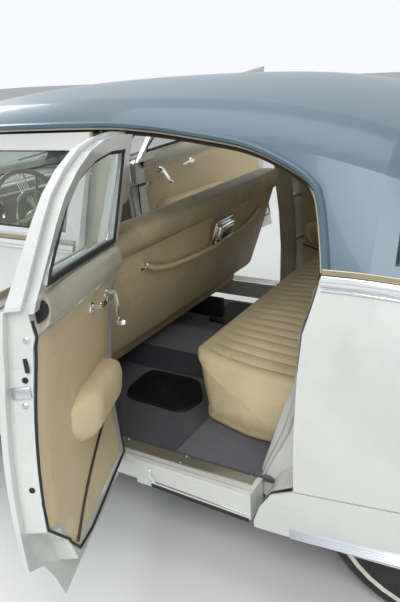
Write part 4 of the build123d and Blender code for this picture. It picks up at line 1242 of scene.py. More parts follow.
class CAR_OT_seats(bpy.types.Operator):
    """Both bench seats with pleats, piping, robe cord and ashtray"""

    bl_idname = "car.seats"
    bl_label = "Seats"

    def execute(self, context):
        sizes = context.scene.car_seats
        self.front(sizes)
        self.cord(sizes)
        self.ashtray()
        runners = [rounded_box((0.03, way * RUNNER_Y, 0.305), RUNNER_SIZE, 0.008, 2) for way in (-1, 1)]
        make("front_seat_runners", joined(*runners), "dark", "body")
        self.rear(sizes)
        return {"FINISHED"}

    def pad(self, name, padding, finish, replaces=()):
        piece = make(name, padding.form(), finish, "body", angle=60.0, replaces=replaces)

    def piping(self, name, path, ups, loop=False, radius=0.0045):
        make(name, swept(path, round_section(radius), ups, loop=loop), "piping", "body")

    def front(self, sizes):
        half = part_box("front_seat")[1].y
        sewn = (sizes.pleat, sizes.depth)
        back = Padding(FRONT_BACK, 0.036, lambda x, z: half - 0.012, sizes.crown, 0.060, *sewn,
                       lambda p, n: n.x > 0.6)
        self.pad("front_seat_back", back, "leather", ["front_seat"])
        roll = Padding(FRONT_ROLL, 0.034, lambda x, z: half - 0.004, 0.010, 0.055)
        self.pad("front_seat_roll", roll, "tan")
        cushion = Padding(FRONT_CUSHION, 0.045, lambda x, z: half - 0.008, sizes.crown, 0.055, *sewn,
                          lambda p, n: n.y > 0.6)
        self.pad("front_seat_cushion", cushion, "leather")
        self.piping("front_seat_back_piping", back.across(-0.440, 0.952, 0.002), (-1, 0, 0.3))
        for side, sign in SIDES:
            edge = back.around(sign * 0.955, 0.001)
            self.piping(f"front_seat_side_piping_{side}", edge, [(0, sign, 0)] * len(edge), True, 0.004)
        self.piping("front_seat_cushion_piping", cushion.across(0.322, 0.560, 0.002), (0, 0, 1))

    def cord(self, sizes):
        """Robe cord between two bright ends on the back of the front seat."""
        x, y, z = CORD_X, CORD_Y, CORD_Z
        for side, sign in SIDES:
            end = lathe(CORD_END, (x, sign * y, z), (1, 0, -0.3), 20)
            make(f"robe_cord_end_{side}", end, "chrome", "body")
        data = bpy.data.curves.new("robe_cord", "CURVE")
        data.dimensions = "3D"
        data.bevel_depth = CORD_WIDTH / 2
        data.bevel_resolution = 4
        data.use_fill_caps = True
        line = data.splines.new("NURBS")
        places = [
            (x, y, z), (x - 0.002, y - 0.05, z - 0.030), (x + 0.010, y - 0.22, z - sizes.cord_sag),
            (x + 0.013, 0.02, z - sizes.cord_sag * 1.25), (x + 0.010, -y + 0.20, z - sizes.cord_sag * 1.05),
            (x - 0.002, -y + 0.05, z - 0.028), (x, -y, z),
        ]
        line.points.add(len(places) - 1)
        for point, place in zip(line.points, places):
            point.co = (*place, 1)
        line.order_u = 3
        line.use_endpoint_u = True
        piece = bpy.data.objects.new("robe_cord", data)
        bpy.context.scene.collection.objects.link(piece)
        data.materials.append(FINISHES["leather"])
        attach(piece, "body")

    def ashtray(self):
        """Bracket, lid with its lip, and the dark seam under the lid."""
        place = Matrix.Translation(ASHTRAY_PLACE) @ Matrix.Rotation(ASHTRAY_LEAN, 4, "Y")
        bracket = rounded_box((-0.004, 0, 0), (0.014, 0.156, 0.120), 0.006, 3)
        lid = rounded_box((-0.018, 0, 0.008), (0.034, 0.140, 0.078), 0.014, 4)
        lip = rounded_box((-0.034, 0, 0.036), (0.014, 0.070, 0.010), 0.004, 3)
        make("ashtray", moved(joined(bracket, lid, lip), place), "chrome", "body")
        ends = [place @ Vector((-0.0305, y, -0.022)) for y in (-0.060, 0.060)]
        make("ashtray_seam", swept(ends, flat_section(0.004, 0.003), (-1, 0, 0.3)), "dark", "body")

    def rear(self, sizes):
        cushion = Padding(
            REAR_CUSHION, 0.045, rear_cushion_half, sizes.crown, 0.032, sizes.pleat, sizes.depth,
            lambda p, n: n.y > 0.7 and -1.15 < p.x < -0.75, 0.024,
        )
        self.pad("rear_seat_cushion", cushion, "leather", ["rear_seat"])
        edge = cushion.across(-0.672, 0.560, -0.001, steps=60)
        make("rear_seat_seam", swept(edge, round_section(0.0032), (0.4, 0, 1)), "tan", "body")
        back = Padding(
            REAR_BACK, 0.040, lambda x, z: wheel_room(x, z, REAR_BACK_HALF), sizes.crown, 0.055, sizes.pleat,
            sizes.depth, lambda p, n: n.x > 0.5,
        )
        self.pad("rear_seat_back", back, "leather")
        self.piping("rear_seat_back_piping", back.across(-1.335, 1.045, 0.002), (0, 0, 1))
        heel = [[Vector((x, y, z)) for x, z in HEEL_LINE] for y in spread(-HEEL_HALF, HEEL_HALF, 24)]
        make("rear_seat_heel_cloth", grid(heel), "carpet", "body")


# Doors

# x of the hinge edge and the latch edge of the trimmed face
DOOR_EDGES = {"front": (0.578, -0.388), "rear": (-0.514, -1.150)}
# how far out the inner face lies where no ray meets it, and how far out it may lie below the windows
INNER_Y, FACE_LIMIT = 0.86, 0.915
SEAL_TOP_Z = 1.03
SEAL_STEPS = (0.006, 0.012, 0.018, 0.026, 0.036, 0.050)
TRIM_LOW_Z, TRIM_HIGH_Z = 0.395, 0.985
TRIM_ROWS, TRIM_COLUMNS, TRIM_RIM = 26, 22, 0.018
# share of the way from hinge to latch, and height
TRIM_PIPING = [(0.02, 0.605), (0.30, 0.555), (0.60, 0.485), (0.86, 0.410)]
# where the piping ends on a rear door, ahead of the wheel arch
REAR_PIPING_END = (-1.030, 0.418)
GARNISH_FOOT_Z, GARNISH_Z, GLASS_STRIP_Z = 1.020, 1.036, 1.084
GARNISH_SECTION = [
    (0.036, 0.0), (0.042, 0.014), (0.036, 0.026), (0.018, 0.034), (-0.006, 0.034), (-0.030, 0.026),
    (-0.044, 0.010), (-0.048, 0.0),
]
ARMREST_SHARES = (0.05, 0.66)
# share of the armrest's reach, and height
ARMREST_SECTION = [
    (0.0, 0.600), (0.45, 0.612), (0.82, 0.640), (1.0, 0.690), (1.02, 0.716), (0.88, 0.738), (0.45, 0.748),
    (0.0, 0.746),
]
ARMREST_Z = 0.700
CRANK_SHARE, CRANK_Z, CRANK_TURN = 0.13, 0.950, Vector((-0.034, 0.0, -0.088))
CRANK_KNOB = [(0.0, 0.006), (0.006, 0.009), (0.022, 0.010), (0.028, 0.007), (0.030, TIP)]
LEVER_SHARE, LEVER_Z = 0.38, 0.945
LATCH_SPOTS = [
    ("screw", 0.985), ("slot", 0.940), ("hole", 0.895), ("dovetail", 0.868), ("screw", 0.838),
    ("plug", 0.640), ("plug", 0.480),
]


class DoorSizes(bpy.types.PropertyGroup):
    """Seals, trim and fittings of the doors."""

    seal: FloatProperty(
        name="Seal", description="Radius of the rubber round each door", default=0.0038, unit="LENGTH",
    )
    trim_lift: FloatProperty(
        name="Trim", description="Thickness of the trim panel", default=0.010, unit="LENGTH",
    )
    armrest: FloatProperty(
        name="Armrest", description="How far the armrest stands out", default=0.066, unit="LENGTH",
    )


class CAR_OT_doors(bpy.types.Operator):
    """Rubber, trim panel, armrest, handles, garnish and latch fittings of the four doors"""

    bl_idname = "car.doors"
    bl_label = "Doors"

    def execute(self, context):
        sizes = context.scene.car_doors
        for key in DOORS:
            self.key, self.row, self.place = key, key.split("_")[0], door_place(key)
            self.skin = Skin([f"door_{key}"], self.place)
            self.hinge, self.latch = DOOR_EDGES[self.row]
            self.seal(sizes)
            self.trim(sizes)
            self.garnish()
            self.armrest(sizes)
            self.crank()
            self.lever()
            self.latch_face()
            self.window()
        return {"FINISHED"}

    def add(self, name, form, finish, angle=40.0):
        """Makes a piece of this door, laid out on the closed left door, where this door stands."""
        body = f"door_{self.key}"
        return make(f"{body}_{name}", moved(form, self.place), finish, body, angle=angle)

    def inner(self, x, z, default=INNER_Y):
        """How far out the door's inner face lies."""
        return self.skin.side(x, z, default, 0.3, 1.0)

    def limit(self, z):
        """How far out the inner face can lie at a height: more is the outer skin's back."""
        return FACE_LIMIT if z < 1.0 else INNER_Y - 0.30 * max(0.0, z - 1.1)

    def at(self, share):
        """x at a share of the way from the hinge to the latch."""
        return self.hinge + (self.latch - self.hinge) * share

    def seal(self, sizes):
        """Rubber round the foot and the sides of the door, set in to where the face is sound."""
        outline = [Vector(p) for p in SEALS[self.row]]
        middle = sum(outline, Vector((0, 0))) / len(outline)
        path = []
        for p in smooth_path(side_view(outline), 4, True):
            spot = Vector((p.x, p.z))
            inward = (middle - spot).normalized()
            for x, z in (spot + inward * step for step in SEAL_STEPS):
                y = self.inner(x, z, 0.0)
                if 0.5 < y < self.limit(z):
                    path.append(Vector((x, y - sizes.seal * 0.4, z)))
                    break
        first = max(range(len(path)), key=lambda i: path[i].z)
        path = [p for p in path[first:] + path[:first] if p.z < SEAL_TOP_Z]
        self.add("seal", swept(path, round_section(sizes.seal), (0, -1, 0)), "seal")

    def trim_end(self, z):
        """Where the trim ends towards the latch: clear of the wheel arch on the rear doors."""
        if self.row == "front":
            return self.latch
        if z < 0.490:
            return -1.036 - (z - 0.390) * 1.14
        return self.latch - 0.006 * max(0.0, (z - 0.9) / 0.1)

    def trim(self, sizes):
        """Soft-edged panel on the inner face, and the dark piping that crosses it."""
        rows = []
        for z in spread(TRIM_LOW_Z, TRIM_HIGH_Z, TRIM_ROWS):
            start, stop = self.hinge, self.trim_end(z)
            sound = [x for x in spread(start, stop, TRIM_COLUMNS) if self.inner(x, z) < self.limit(z)]
            if len(sound) < 3:
                continue
            if abs(sound[-1] - stop) < abs(stop - start) * 0.6:
                stop = sound[-1]
            row = []
            for x in spread(start, stop, TRIM_COLUMNS):
                edge = min(z - TRIM_LOW_Z, TRIM_HIGH_Z - z, abs(x - start), abs(stop - x)) / TRIM_RIM
                rise = math.sin(math.pi / 2 * min(1.0, edge))
                row.append(Vector((x, self.inner(x, z) + 0.0015 - sizes.trim_lift * rise, z)))
            rows.append(row)
        self.add("trim", grid(rows), "vinyl", angle=60.0)
        ends = [(self.at(share), z) for share, z in TRIM_PIPING]
        if self.row == "rear":
            ends[-1] = REAR_PIPING_END
        path = [Vector((p.x, self.inner(p.x, p.z) - sizes.trim_lift - 0.001, p.z))
                for p in smooth_path(side_view(ends), 8)]
        self.add("trim_piping", swept(path, round_section(0.004), (0, -1, 0)), "piping")

    def garnish(self):
        """Rolled garnish under the window, its rubber ends, and the bright strip at the glass."""
        stations = spread(self.hinge + 0.004, self.latch - 0.004, 30)
        line = [Vector((x, self.inner(x, GARNISH_FOOT_Z) + 0.004, GARNISH_Z)) for x in stations]
        self.add("garnish", swept(line, GARNISH_SECTION, (0, -1, 0)), "cream", angle=60.0)
        block = [(a * 0.55, b * 0.9) for a, b in GARNISH_SECTION]
        for name, tip, behind in (("hinge", line[0], line[1]), ("latch", line[-1], line[-2])):
            away = (tip - behind).normalized()
            rubber_end = swept([tip - away * 0.004, tip + away * 0.010], block, (0, -1, 0))
            self.add(f"garnish_rubber_{name}", rubber_end, "seal")
        strip = [Vector((x, self.inner(x, GLASS_STRIP_Z - 0.009, 0.88) + 0.004, GLASS_STRIP_Z))
                 for x in stations[1:-1]]
        self.add("glass_strip", swept(strip, flat_section(0.012, 0.007), (0, -1, 0)), "chrome")

    def armrest(self, sizes):
        """Padded rest that tapers quickly at the hinge end and slowly at the latch end."""
        section = [(p.x, p.z) for p in smooth_path(side_view(ARMREST_SECTION), 3)]
        stations = spread(*(self.at(share) for share in ARMREST_SHARES), 24)
        rows = []
        for x, t in zip(stations, spread(0.0, 1.0, 24)):
            taper = math.sin(math.pi / 2 * min(1.0, 6 * t)) * math.sin(math.pi / 2 * min(1.0, 4 * (1 - t)))
            reach = sizes.armrest * (0.12 + 0.88 * taper)
            y = self.inner(x, 0.68) - 0.004
            rows.append([Vector((x, y - reach * out, ARMREST_Z + (z - ARMREST_Z) * (0.40 + 0.60 * taper)))
                         for out, z in section])
        piece = self.add("armrest", grid(rows, closed=True, caps=True), "leather", angle=60.0)

    def boss(self, x, z, radius):
        """Round seat and stem of a handle, and the stem's outer end."""
        seat = [(-0.004, radius * 2.1), (0.003, radius * 2.0), (0.008, radius * 1.4), (0.010, radius)]
        stem = [(0.0, radius), (0.026, radius * 0.9), (0.030, radius * 0.5), (0.031, TIP)]
        centre = Vector((x, self.inner(x, z) - 0.008, z))
        form = joined(lathe(seat, centre, (0, -1, 0), 24), lathe(stem, centre, (0, -1, 0), 16))
        return form, centre - Vector((0, 0.026, 0))

    def crank(self):
        """Window crank: its boss, flat arm and round knob."""
        base, top = self.boss(self.at(CRANK_SHARE), CRANK_Z, 0.011)
        knob_foot = top + CRANK_TURN
        bend = top + CRANK_TURN * 0.5 + Vector((0, -0.006, 0))
        arm = swept([top, bend, knob_foot + Vector((0, -0.004, 0))], rod_section(0.009, 0.003), (0, -1, 0))
        self.add("crank", joined(base, arm), "chrome")
        self.add("crank_knob", lathe(CRANK_KNOB, knob_foot, (0, -1, 0), 16), "chrome")

    def lever(self):
        """Door lever, thinner towards its end."""
        base, top = self.boss(self.at(LEVER_SHARE), LEVER_Z, 0.010)
        path = [top, top + Vector((0.035, -0.004, 0.002)), top + Vector((0.085, 0.0, -0.004))]
        arm = swept(path, rod_section(0.008, 0.004), (0, -1, 0), scale=lambda t: 1.1 - 0.5 * t)
        self.add("lever", joined(base, arm), "chrome")

    def latch_face(self):
        """Screws, keyhole slot, hole, dovetail and plugs on the face that meets the post; the slot and the
        hole are dark shapes laid flat on the face, painted shade for openings that are not cut.
        """
        bright, dark = [], []
        for kind, z in LATCH_SPOTS:
            y = self.inner(self.latch + 0.014, z) + 0.017
            point, _ = self.skin.hit((self.latch - 0.4, y, z), (1, 0, 0))
            if point is None or abs(point.x - self.latch) > 0.06:
                continue
            if kind == "screw":
                bright.append(screw(point, (-1, 0, 0), 0.007))
            elif kind == "dovetail":
                centre = point + Vector((-0.002, 0.008, 0))
                bright.append(rounded_box(centre, (0.008, 0.044, 0.026), 0.003, 2))
            # the keyhole slot is a thin dark box on the face: painted shade, not a cut opening
            elif kind == "slot":
                dark.append(rounded_box(point, (0.002, 0.010, 0.056), 0.0009, 2))
            # holes and plugs alike are flat dark discs: the plugs are dark parts, the hole is painted shade
            else:
                dark.append(lathe([(-0.002, 0.007), (0.001, 0.007), (0.0015, TIP)], point, (-1, 0, 0), 16))
        self.add("latch_metal", joined(*bright), "steel")
        # the dark pieces: painted shade of the slot and the hole, with the dark plugs
        self.add("latch_plugs_and_painted_hole_shade", joined(*dark), "dark")

    def window(self):
        """Bright bead round the outside of the door glass, and rubber round the inside."""
        for name, outward, finish in (("window_bead", True, "chrome"), ("window_rubber", False, "seal")):
            path = dense(rims(f"glass_{self.key}", self.place, outward)[0])
            ups = cabin_ups(path, outward)
            middle = sum(path, Vector((0, 0, 0))) / len(path)
            path = [p + (p - middle).normalized() * 0.001 for p in path]
            self.add(name, swept(path, flat_section(0.016, 0.008), ups, loop=True), finish)


# Jambs

# the outer edge of the recess behind the rear door, and the flange inside it
JAMB_EDGE = [
    (-1.226, 1.040), (-1.216, 0.985), (-1.200, 0.921), (-1.197, 0.80), (-1.196, 0.62), (-1.196, 0.470),
    (-1.158, 0.432), (-1.122, 0.410), (-1.098, 0.375), (-1.080, 0.335), (-1.066, 0.285),
]
JAMB_FLANGE = [
    (-1.200, 1.040), (-1.188, 0.980), (-1.172, 0.900), (-1.158, 0.800), (-1.130, 0.690), (-1.100, 0.600),
    (-1.072, 0.510), (-1.050, 0.440), (-1.036, 0.396), (-1.024, 0.352), (-1.012, 0.300),
]
# share of the way from the edge to the flange, and how far out the face lies there
JAMB_SECTION = [
    (-0.02, 0.924), (0.00, 0.900), (0.02, 0.868), (0.04, 0.862), (0.06, 0.824), (0.09, 0.817), (0.40, 0.808),
    (0.62, 0.806), (0.68, 0.800), (0.71, 0.812), (0.76, 0.815), (0.80, 0.810), (0.84, 0.796), (0.92, 0.792),
    (1.00, 0.786), (1.02, 0.770), (1.00, 0.700),
]
JAMB_BEAD = (0.70, 0.806)
# above this height the jamb leans in with the body side
JAMB_LEAN_Z, JAMB_LEAN = 0.92, 0.33
WINDLACE_LINES = (("rear", REAR_OPENING[4:], (-0.80, 0.95)), ("front", FRONT_OPENING, (0.10, 0.90)))
STRIKERS = (("rear", -1.178, 0.842), ("front", -0.440, 0.850))
STRIKER_Z = 0.800
TREADS = (("front", -0.395, 0.585), ("rear", -1.030, -0.515))
TREAD_Y = SILL_IN_Y + 0.026


class JambSizes(bpy.types.PropertyGroup):
    """The posts and edges that the doors meet."""

    windlace: FloatProperty(
        name="Windlace", description="Radius of the leather bead round each opening",
        default=0.008, unit="LENGTH",
    )


class CAR_OT_jambs(bpy.types.Operator):
    """Painted recesses, windlace, strikers and tread plates of the doorways"""

    bl_idname = "car.jambs"
    bl_label = "Jambs"

    def execute(self, context):
        self.recess()
        self.windlace(context.scene.car_jambs.windlace)
        self.strikers()
        for name, start, stop in TREADS:
            self.tread(name, start, stop)
        return {"FINISHED"}

    def recess(self):
        """The stepped painted face behind the rear door's latch edge, down to the sill, and its bead."""
        rows, bead = [], []
        for a, b in zip(smooth_path(side_view(JAMB_EDGE), 4), smooth_path(side_view(JAMB_FLANGE), 4)):
            lean = Vector((0, max(0.0, a.z - JAMB_LEAN_Z) * JAMB_LEAN, 0))
            row = [a + (b - a) * share + Vector((0, y, 0)) - lean for share, y in (*JAMB_SECTION, JAMB_BEAD)]
            rows.append(row[:-1])
            bead.append(row[-1])
        make("rear_jamb_recesses", both_sides(grid(rows)), "body", "body", angle=30.0)
        form = swept(bead, round_section(0.0035), (0, -1, 0))
        make("rear_jamb_bead_inner", both_sides(form), "body", "body")

    def windlace(self, radius):
        """Leather bead round each opening, just inside the closed door."""
        for row, outline, middle in WINDLACE_LINES:
            door = Skin([f"door_{row}_left"], door_place(f"{row}_left"))
            path = []
            for spot in smooth_path(side_view(outline), 4):
                inward = (Vector(middle) - Vector((spot.x, spot.z))).normalized() * 0.014
                x, z = spot.x + inward.x, spot.z + inward.y
                faces = [door.side(x + inward.x * k, z + inward.y * k, 0.83, 0.3, 1.0) for k in range(4)]
                path.append(Vector((x, min(faces) - 0.008 - radius, z)))
            form = swept(path, round_section(radius), (0, 1, 0))
            make(f"{row}_windlaces", both_sides(form), "piping", "body")

    def strikers(self):
        """Plates with three teeth, on the posts that the latches meet."""
        for name, x, y in STRIKERS:
            plate = rounded_box((x, y, STRIKER_Z), (0.004, 0.030, 0.090), 0.0015, 2)
            teeth = [rounded_box((x + 0.006, y, STRIKER_Z + step), (0.010, 0.018, 0.010), 0.003, 2)
                     for step in (-0.02, 0.0, 0.02)]
            make(f"{name}_strikers", both_sides(joined(plate, *teeth)), "steel", "body")

    def tread(self, name, start, stop):
        """Ribbed tread plates with their screws on a pair of sills, and the sills' rolled lips."""
        line = [(x, TREAD_Y, SILL_Z) for x in spread(start, stop, 12)]
        form = swept(line, ribbed_section(0.052, 0.0030, 7, 0.0012), (0, 0, 1))
        make(f"{name}_tread_plates", both_sides(form), "scuff", "body")
        screws = [screw((x, TREAD_Y + aside, SILL_Z + 0.0028), (0, 0, 1), 0.0040)
                  for x in (start + 0.02, (start + stop) / 2, stop - 0.02) for aside in (-0.019, 0.019)]
        make(f"{name}_tread_screws", both_sides(joined(*screws)), "steel", "body")
        line = [(x, SILL_Y - 0.0125, SILL_Z - 0.0115) for x in spread(start - 0.008, stop + 0.008, 12)]
        lip = swept(line, round_section(0.0135, 12), (0, 0, 1))
        make(f"{name}_sill_lips", both_sides(lip), "body", "body")


# Cabin

# outlines of the floor mats, as (x, y) corners
MATS = {
    "rear_left": [(-0.160, 0.150), (-0.160, 0.330), (-0.205, 0.420), (-0.505, 0.432), (-0.535, 0.300),
                  (-0.430, 0.150)],
    "rear_right": [(-0.110, -0.470), (-0.110, -0.780), (-0.470, -0.780), (-0.470, -0.470)],
    "front_left": [(0.340, 0.180), (0.340, 0.600), (0.660, 0.600), (0.700, 0.180)],
    "front_right": [(0.340, -0.180), (0.340, -0.600), (0.660, -0.600), (0.700, -0.180)],
}
# share of the mat's outline, and share of its height: a raised rim round a lower field
MAT_RINGS = (
    (1.0, 0.0), (0.99, 0.7), (0.965, 1.0), (0.925, 0.95), (0.90, 0.55), (0.88, 0.55), (0.6, 0.58),
    (0.3, 0.58), (0.02, 0.58),
)
LINING_HALF = 0.60
HEADLINER_FRONT_X, HEADLINER_REAR_X, BOW_PITCH = 0.34, -1.30, 0.27
UNDER_ROOF_Z = 1.15
SHELF_FRONT_X, SHELF_REAR_X, SHELF_Z = -1.445, -1.745, 1.050
DOME_LAMP_X = -0.62

REARWARD = Vector((-1, 0, 0))
GRILLE_LOW_Z, GRILLE_PITCH, GRILLE_SLATS = 0.885, 0.0105, 9
GRILLE_Y = (-0.64, -0.40)
GRILLE_RIM = [(-0.655, 0.872), (-0.385, 0.872), (-0.385, 0.982), (-0.655, 0.982)]
# name, y, z, radius
DIALS = (("speed", 0.348, 0.990, 0.082), ("clock", -0.05, 0.965, 0.050))
DIAL_MARKS, DIAL_SWEEP = 11, 120
KNOB_Z, KNOB_YS = 0.905, (0.10, 0.16, 0.52, 0.58, 0.64, -0.14, -0.20, -0.26)
KNOB = [(-0.002, 0.009), (0.008, 0.007), (0.012, 0.011), (0.024, 0.012), (0.028, 0.008), (0.029, TIP)]
DASH_STRIP_Z, DASH_STRIP_HALF = 1.045, 0.70
GLOVE_DOOR = [(-0.365, 0.860), (-0.280, 0.860), (-0.280, 1.000), (-0.365, 1.000)]

COLUMN_LEAN = math.radians(68)
COLUMN_AXIS = Vector((-math.sin(COLUMN_LEAN), 0, math.cos(COLUMN_LEAN)))
STEERING_CENTRE = Vector((0.242, 0.348, 0.988))
SPOKE_BUNDLES = (90, 210, 330)
SPOKE_GAP, SPOKE_FOOT, SPOKE_END = 0.0105, 0.030, 0.206
HORN_RADIUS, HORN_LIFT = 0.118, 0.016
HUB = [(-0.030, 0.036), (0.004, 0.040), (0.016, 0.036), (0.022, 0.024), (0.024, TIP)]
HORN_BUTTON = [(0.0225, 0.020), (0.027, 0.016), (0.029, TIP)]
SHIFT_KNOB = [(-0.004, 0.006), (0.006, 0.013), (0.020, 0.015), (0.031, 0.009), (0.033, TIP)]
SHIFT_DROP = 0.115
SHIFT_BENDS = ((0.0, 0.0, 0.0), (0.0, -0.09, 0.015), (-0.03, -0.20, 0.055))
# name, y, width, height and z of each pad
PEDALS = (("clutch", 0.47, 0.075, 0.060, 0.335), ("brake", 0.30, 0.085, 0.060, 0.335),
          ("throttle", 0.19, 0.055, 0.150, 0.300))
PEDAL_X, PEDAL_LEAN = 0.700, math.radians(-38)


class CabinSizes(bpy.types.PropertyGroup):
    """Floor mats, dash fittings and steering wheel."""

    mat_height: FloatProperty(
        name="Mat", description="Thickness of the floor mats", default=0.009, unit="LENGTH",
    )
    spokes: IntProperty(
        name="Spokes", description="Wire spokes in each of the wheel's three bundles", default=5, min=1,
    )


class CAR_OT_cabin(bpy.types.Operator):
    """Mats, headliner, shelf, dash fittings, steering wheel and pedals"""

    bl_idname = "car.cabin"
    bl_label = "Cabin"

    def execute(self, context):
        sizes = context.scene.car_cabin
        for name, outline in MATS.items():
            self.mat(name, outline, sizes.mat_height)
        self.headliner()
        self.shelf()
        self.dome_lamp()
        self.face = Skin(["dashboard"])
        self.grille()
        for dial in DIALS:
            self.dial(*dial)
        self.dash()
        self.steering(sizes)
        self.shift_lever()
        for pedal in PEDALS:
            self.pedal(*pedal)
        return {"FINISHED"}

    def mat(self, name, outline, thickness):
        ring = rounded_outline(outline, 0.045)
        middle = sum(ring, Vector((0, 0))) / len(ring)
        base = MAT_Z + 0.0005
        rows = []
        for share, height in MAT_RINGS:
            line = [middle + (p - middle) * share for p in ring]
            rows.append([Vector((p.x, p.y, base + thickness * height)) for p in line])
        make(f"mat_{name}", grid(rows, closed=True), "mat", "body", angle=50.0)

    def headliner(self):
        """Cloth under the roof, drawn up between its bows."""
        roof = Skin(["roof"])
        rows = []
        for x in spread(HEADLINER_FRONT_X, HEADLINER_REAR_X, 44):
            line = []
            for y in spread(-LINING_HALF, LINING_HALF, 26):
                point, _ = roof.hit((x, y, UNDER_ROOF_Z), (0, 0, 1))
                z = point.z if point else 1.45
                bow = abs(math.sin(math.pi * (HEADLINER_FRONT_X - x) / BOW_PITCH))
                line.append(Vector((x, y, z - 0.004 - 0.008 * math.sqrt(bow))))
            rows.append(line)
        make("headliner", grid(rows), "headliner", "body", angle=70.0)

    def shelf(self):
        """The cloth shelf behind the rear seat, slightly crowned."""
        crown = [(y, SHELF_Z + 0.004 * math.sin(angle))
                 for y, angle in zip(spread(-LINING_HALF, LINING_HALF, 12), spread(0.0, math.pi, 12))]
        rows = [[Vector((x, y, z)) for y, z in crown] for x in spread(SHELF_FRONT_X, SHELF_REAR_X, 8)]
        make("rear_shelf", grid(rows), "headliner", "body")

    def dome_lamp(self):
        roof_z = Skin(["roof"]).hit((DOME_LAMP_X, 0.0, UNDER_ROOF_Z), (0, 0, 1))[0].z
        lamp = rounded_box((DOME_LAMP_X, 0.0, roof_z - 0.020), (0.150, 0.060, 0.016), 0.007)
        make("dome_lamp", lamp, "lens", "body")
        rim = rounded_box((DOME_LAMP_X, 0.0, roof_z - 0.014), (0.166, 0.076, 0.012), 0.005)
        make("dome_lamp_rim", rim, "chrome", "body")

    def at(self, y, z, lift=0.0):
        """A point on the dash, seen from the front seat."""
        point, _ = self.face.hit((0.20, y, z), (1, 0, 0))
        return Vector((point.x - lift if point else 0.526, y, z))

    def grille(self):
        """Bright slats over the speaker and the rim round them."""
        slats = []
        for i in range(GRILLE_SLATS):
            z = GRILLE_LOW_Z + GRILLE_PITCH * i
            slats.append(swept([self.at(y, z) for y in GRILLE_Y], arc_section(0.006, 0.006, 5), REARWARD))
        make("dash_grille", joined(*slats), "chrome", "body")
        line = [self.at(p.x, p.y, 0.002) for p in rounded_outline(GRILLE_RIM, 0.014, 4)]
        rim = swept(line, arc_section(0.010, 0.008, 5), REARWARD, loop=True)
        make("dash_grille_rim", rim, "chrome", "body")

    def dial(self, name, y, z, radius):
        """Bezel, face, marks and hand of one dial."""
        spot = self.at(y, z)
        bezel = [(-0.002, radius), (0.010, radius), (0.014, radius - 0.006), (0.008, radius - 0.012)]
        make(f"{name}_bezel", lathe(bezel, spot, REARWARD, 40), "chrome", "body")
        face = lathe([(0.004, radius - 0.008), (0.005, TIP)], spot, REARWARD, 40)
        make(f"{name}_face", face, "dial", "body")
        ink = flat_section(0.003, 0.001)
        marks = []
        for degrees in spread(-DIAL_SWEEP, DIAL_SWEEP, DIAL_MARKS - 1):
            angle = math.radians(degrees)
            aim = Vector((0, math.sin(angle), math.cos(angle)))
            foot = spot + REARWARD * 0.005
            ends = [foot + aim * (radius - short) for short in (0.024, 0.013)]
            marks.append(swept(ends, ink, REARWARD))
        hand_end = spot + REARWARD * 0.007 + Vector((0, -0.6, 0.8)) * (radius - 0.022)
        marks.append(swept([spot + REARWARD * 0.006, hand_end], ink, REARWARD))
        make(f"{name}_marks", joined(*marks), "dark", "body")

    def dash(self):
        """Knobs in a row, the bright strip over them and the seam of the glove door."""
        knobs = [lathe(KNOB, self.at(y, KNOB_Z), REARWARD, 18) for y in KNOB_YS]
        make("dash_knobs", joined(*knobs), "ivory", "body")
        strip = [self.at(y, DASH_STRIP_Z, 0.001) for y in spread(-DASH_STRIP_HALF, DASH_STRIP_HALF, 24)]
        make("dash_strip", swept(strip, arc_section(0.014, 0.007, 6), REARWARD), "chrome", "body")
        line = [self.at(p.x, p.y, -0.0005) for p in rounded_outline(GLOVE_DOOR, 0.012, 4)]
        make("dash_door_seam", swept(line, flat_section(0.003, 0.002), REARWARD, loop=True), "dark", "body")

    def steering(self, sizes):
        """Wire spokes in three bundles, horn ring with its arms, hub and horn button."""
        centre, axis = STEERING_CENTRE, COLUMN_AXIS
        side = Vector((0, 1, 0))
        up = side.cross(axis).normalized()

        def aim_at(angle):
            return side * math.cos(angle) + up * math.sin(angle)

        spokes = []
        for bundle in SPOKE_BUNDLES:
            aim = aim_at(math.radians(bundle))
            for i in range(sizes.spokes):
                shift = axis.cross(aim) * (i - (sizes.spokes - 1) / 2) * SPOKE_GAP
                start = centre + aim * SPOKE_FOOT + shift * 0.7 + axis * 0.002
                stop = centre + aim * SPOKE_END + shift * 1.5
                path = [start, start.lerp(stop, 0.5) + axis * 0.004, stop]
                spokes.append(swept(path, round_section(0.0023, 6), axis))
        make("steering_spokes", joined(*spokes), "chrome", "body")
        ring = [centre + aim_at(TAU * i / 40) * HORN_RADIUS + axis * HORN_LIFT for i in range(40)]
        make("horn_ring", swept(ring, round_section(0.0045), axis, loop=True), "chrome", "body")
        arms = []
        for angle in (0.0, math.pi):
            foot = centre + aim_at(angle) * 0.020 + axis * (HORN_LIFT + 0.002)
            end = centre + aim_at(angle) * HORN_RADIUS + axis * HORN_LIFT
            arms.append(swept([foot, end], round_section(0.0045), axis))
        make("horn_ring_arms", joined(*arms), "chrome", "body")
        make("steering_hub", lathe(HUB, centre, axis, 32), "ivory", "body")
        make("horn_button", lathe(HORN_BUTTON, centre, axis, 28), "chrome", "body")

    def shift_lever(self):
        root = STEERING_CENTRE - COLUMN_AXIS * SHIFT_DROP
        path = smooth_path([root + Vector(bend) for bend in SHIFT_BENDS], 5)
        make("shift_lever", swept(path, round_section(0.005), COLUMN_AXIS), "chrome", "body")
        make("shift_knob", lathe(SHIFT_KNOB, path[-1], path[-1] - path[-2], 20), "ivory", "body")

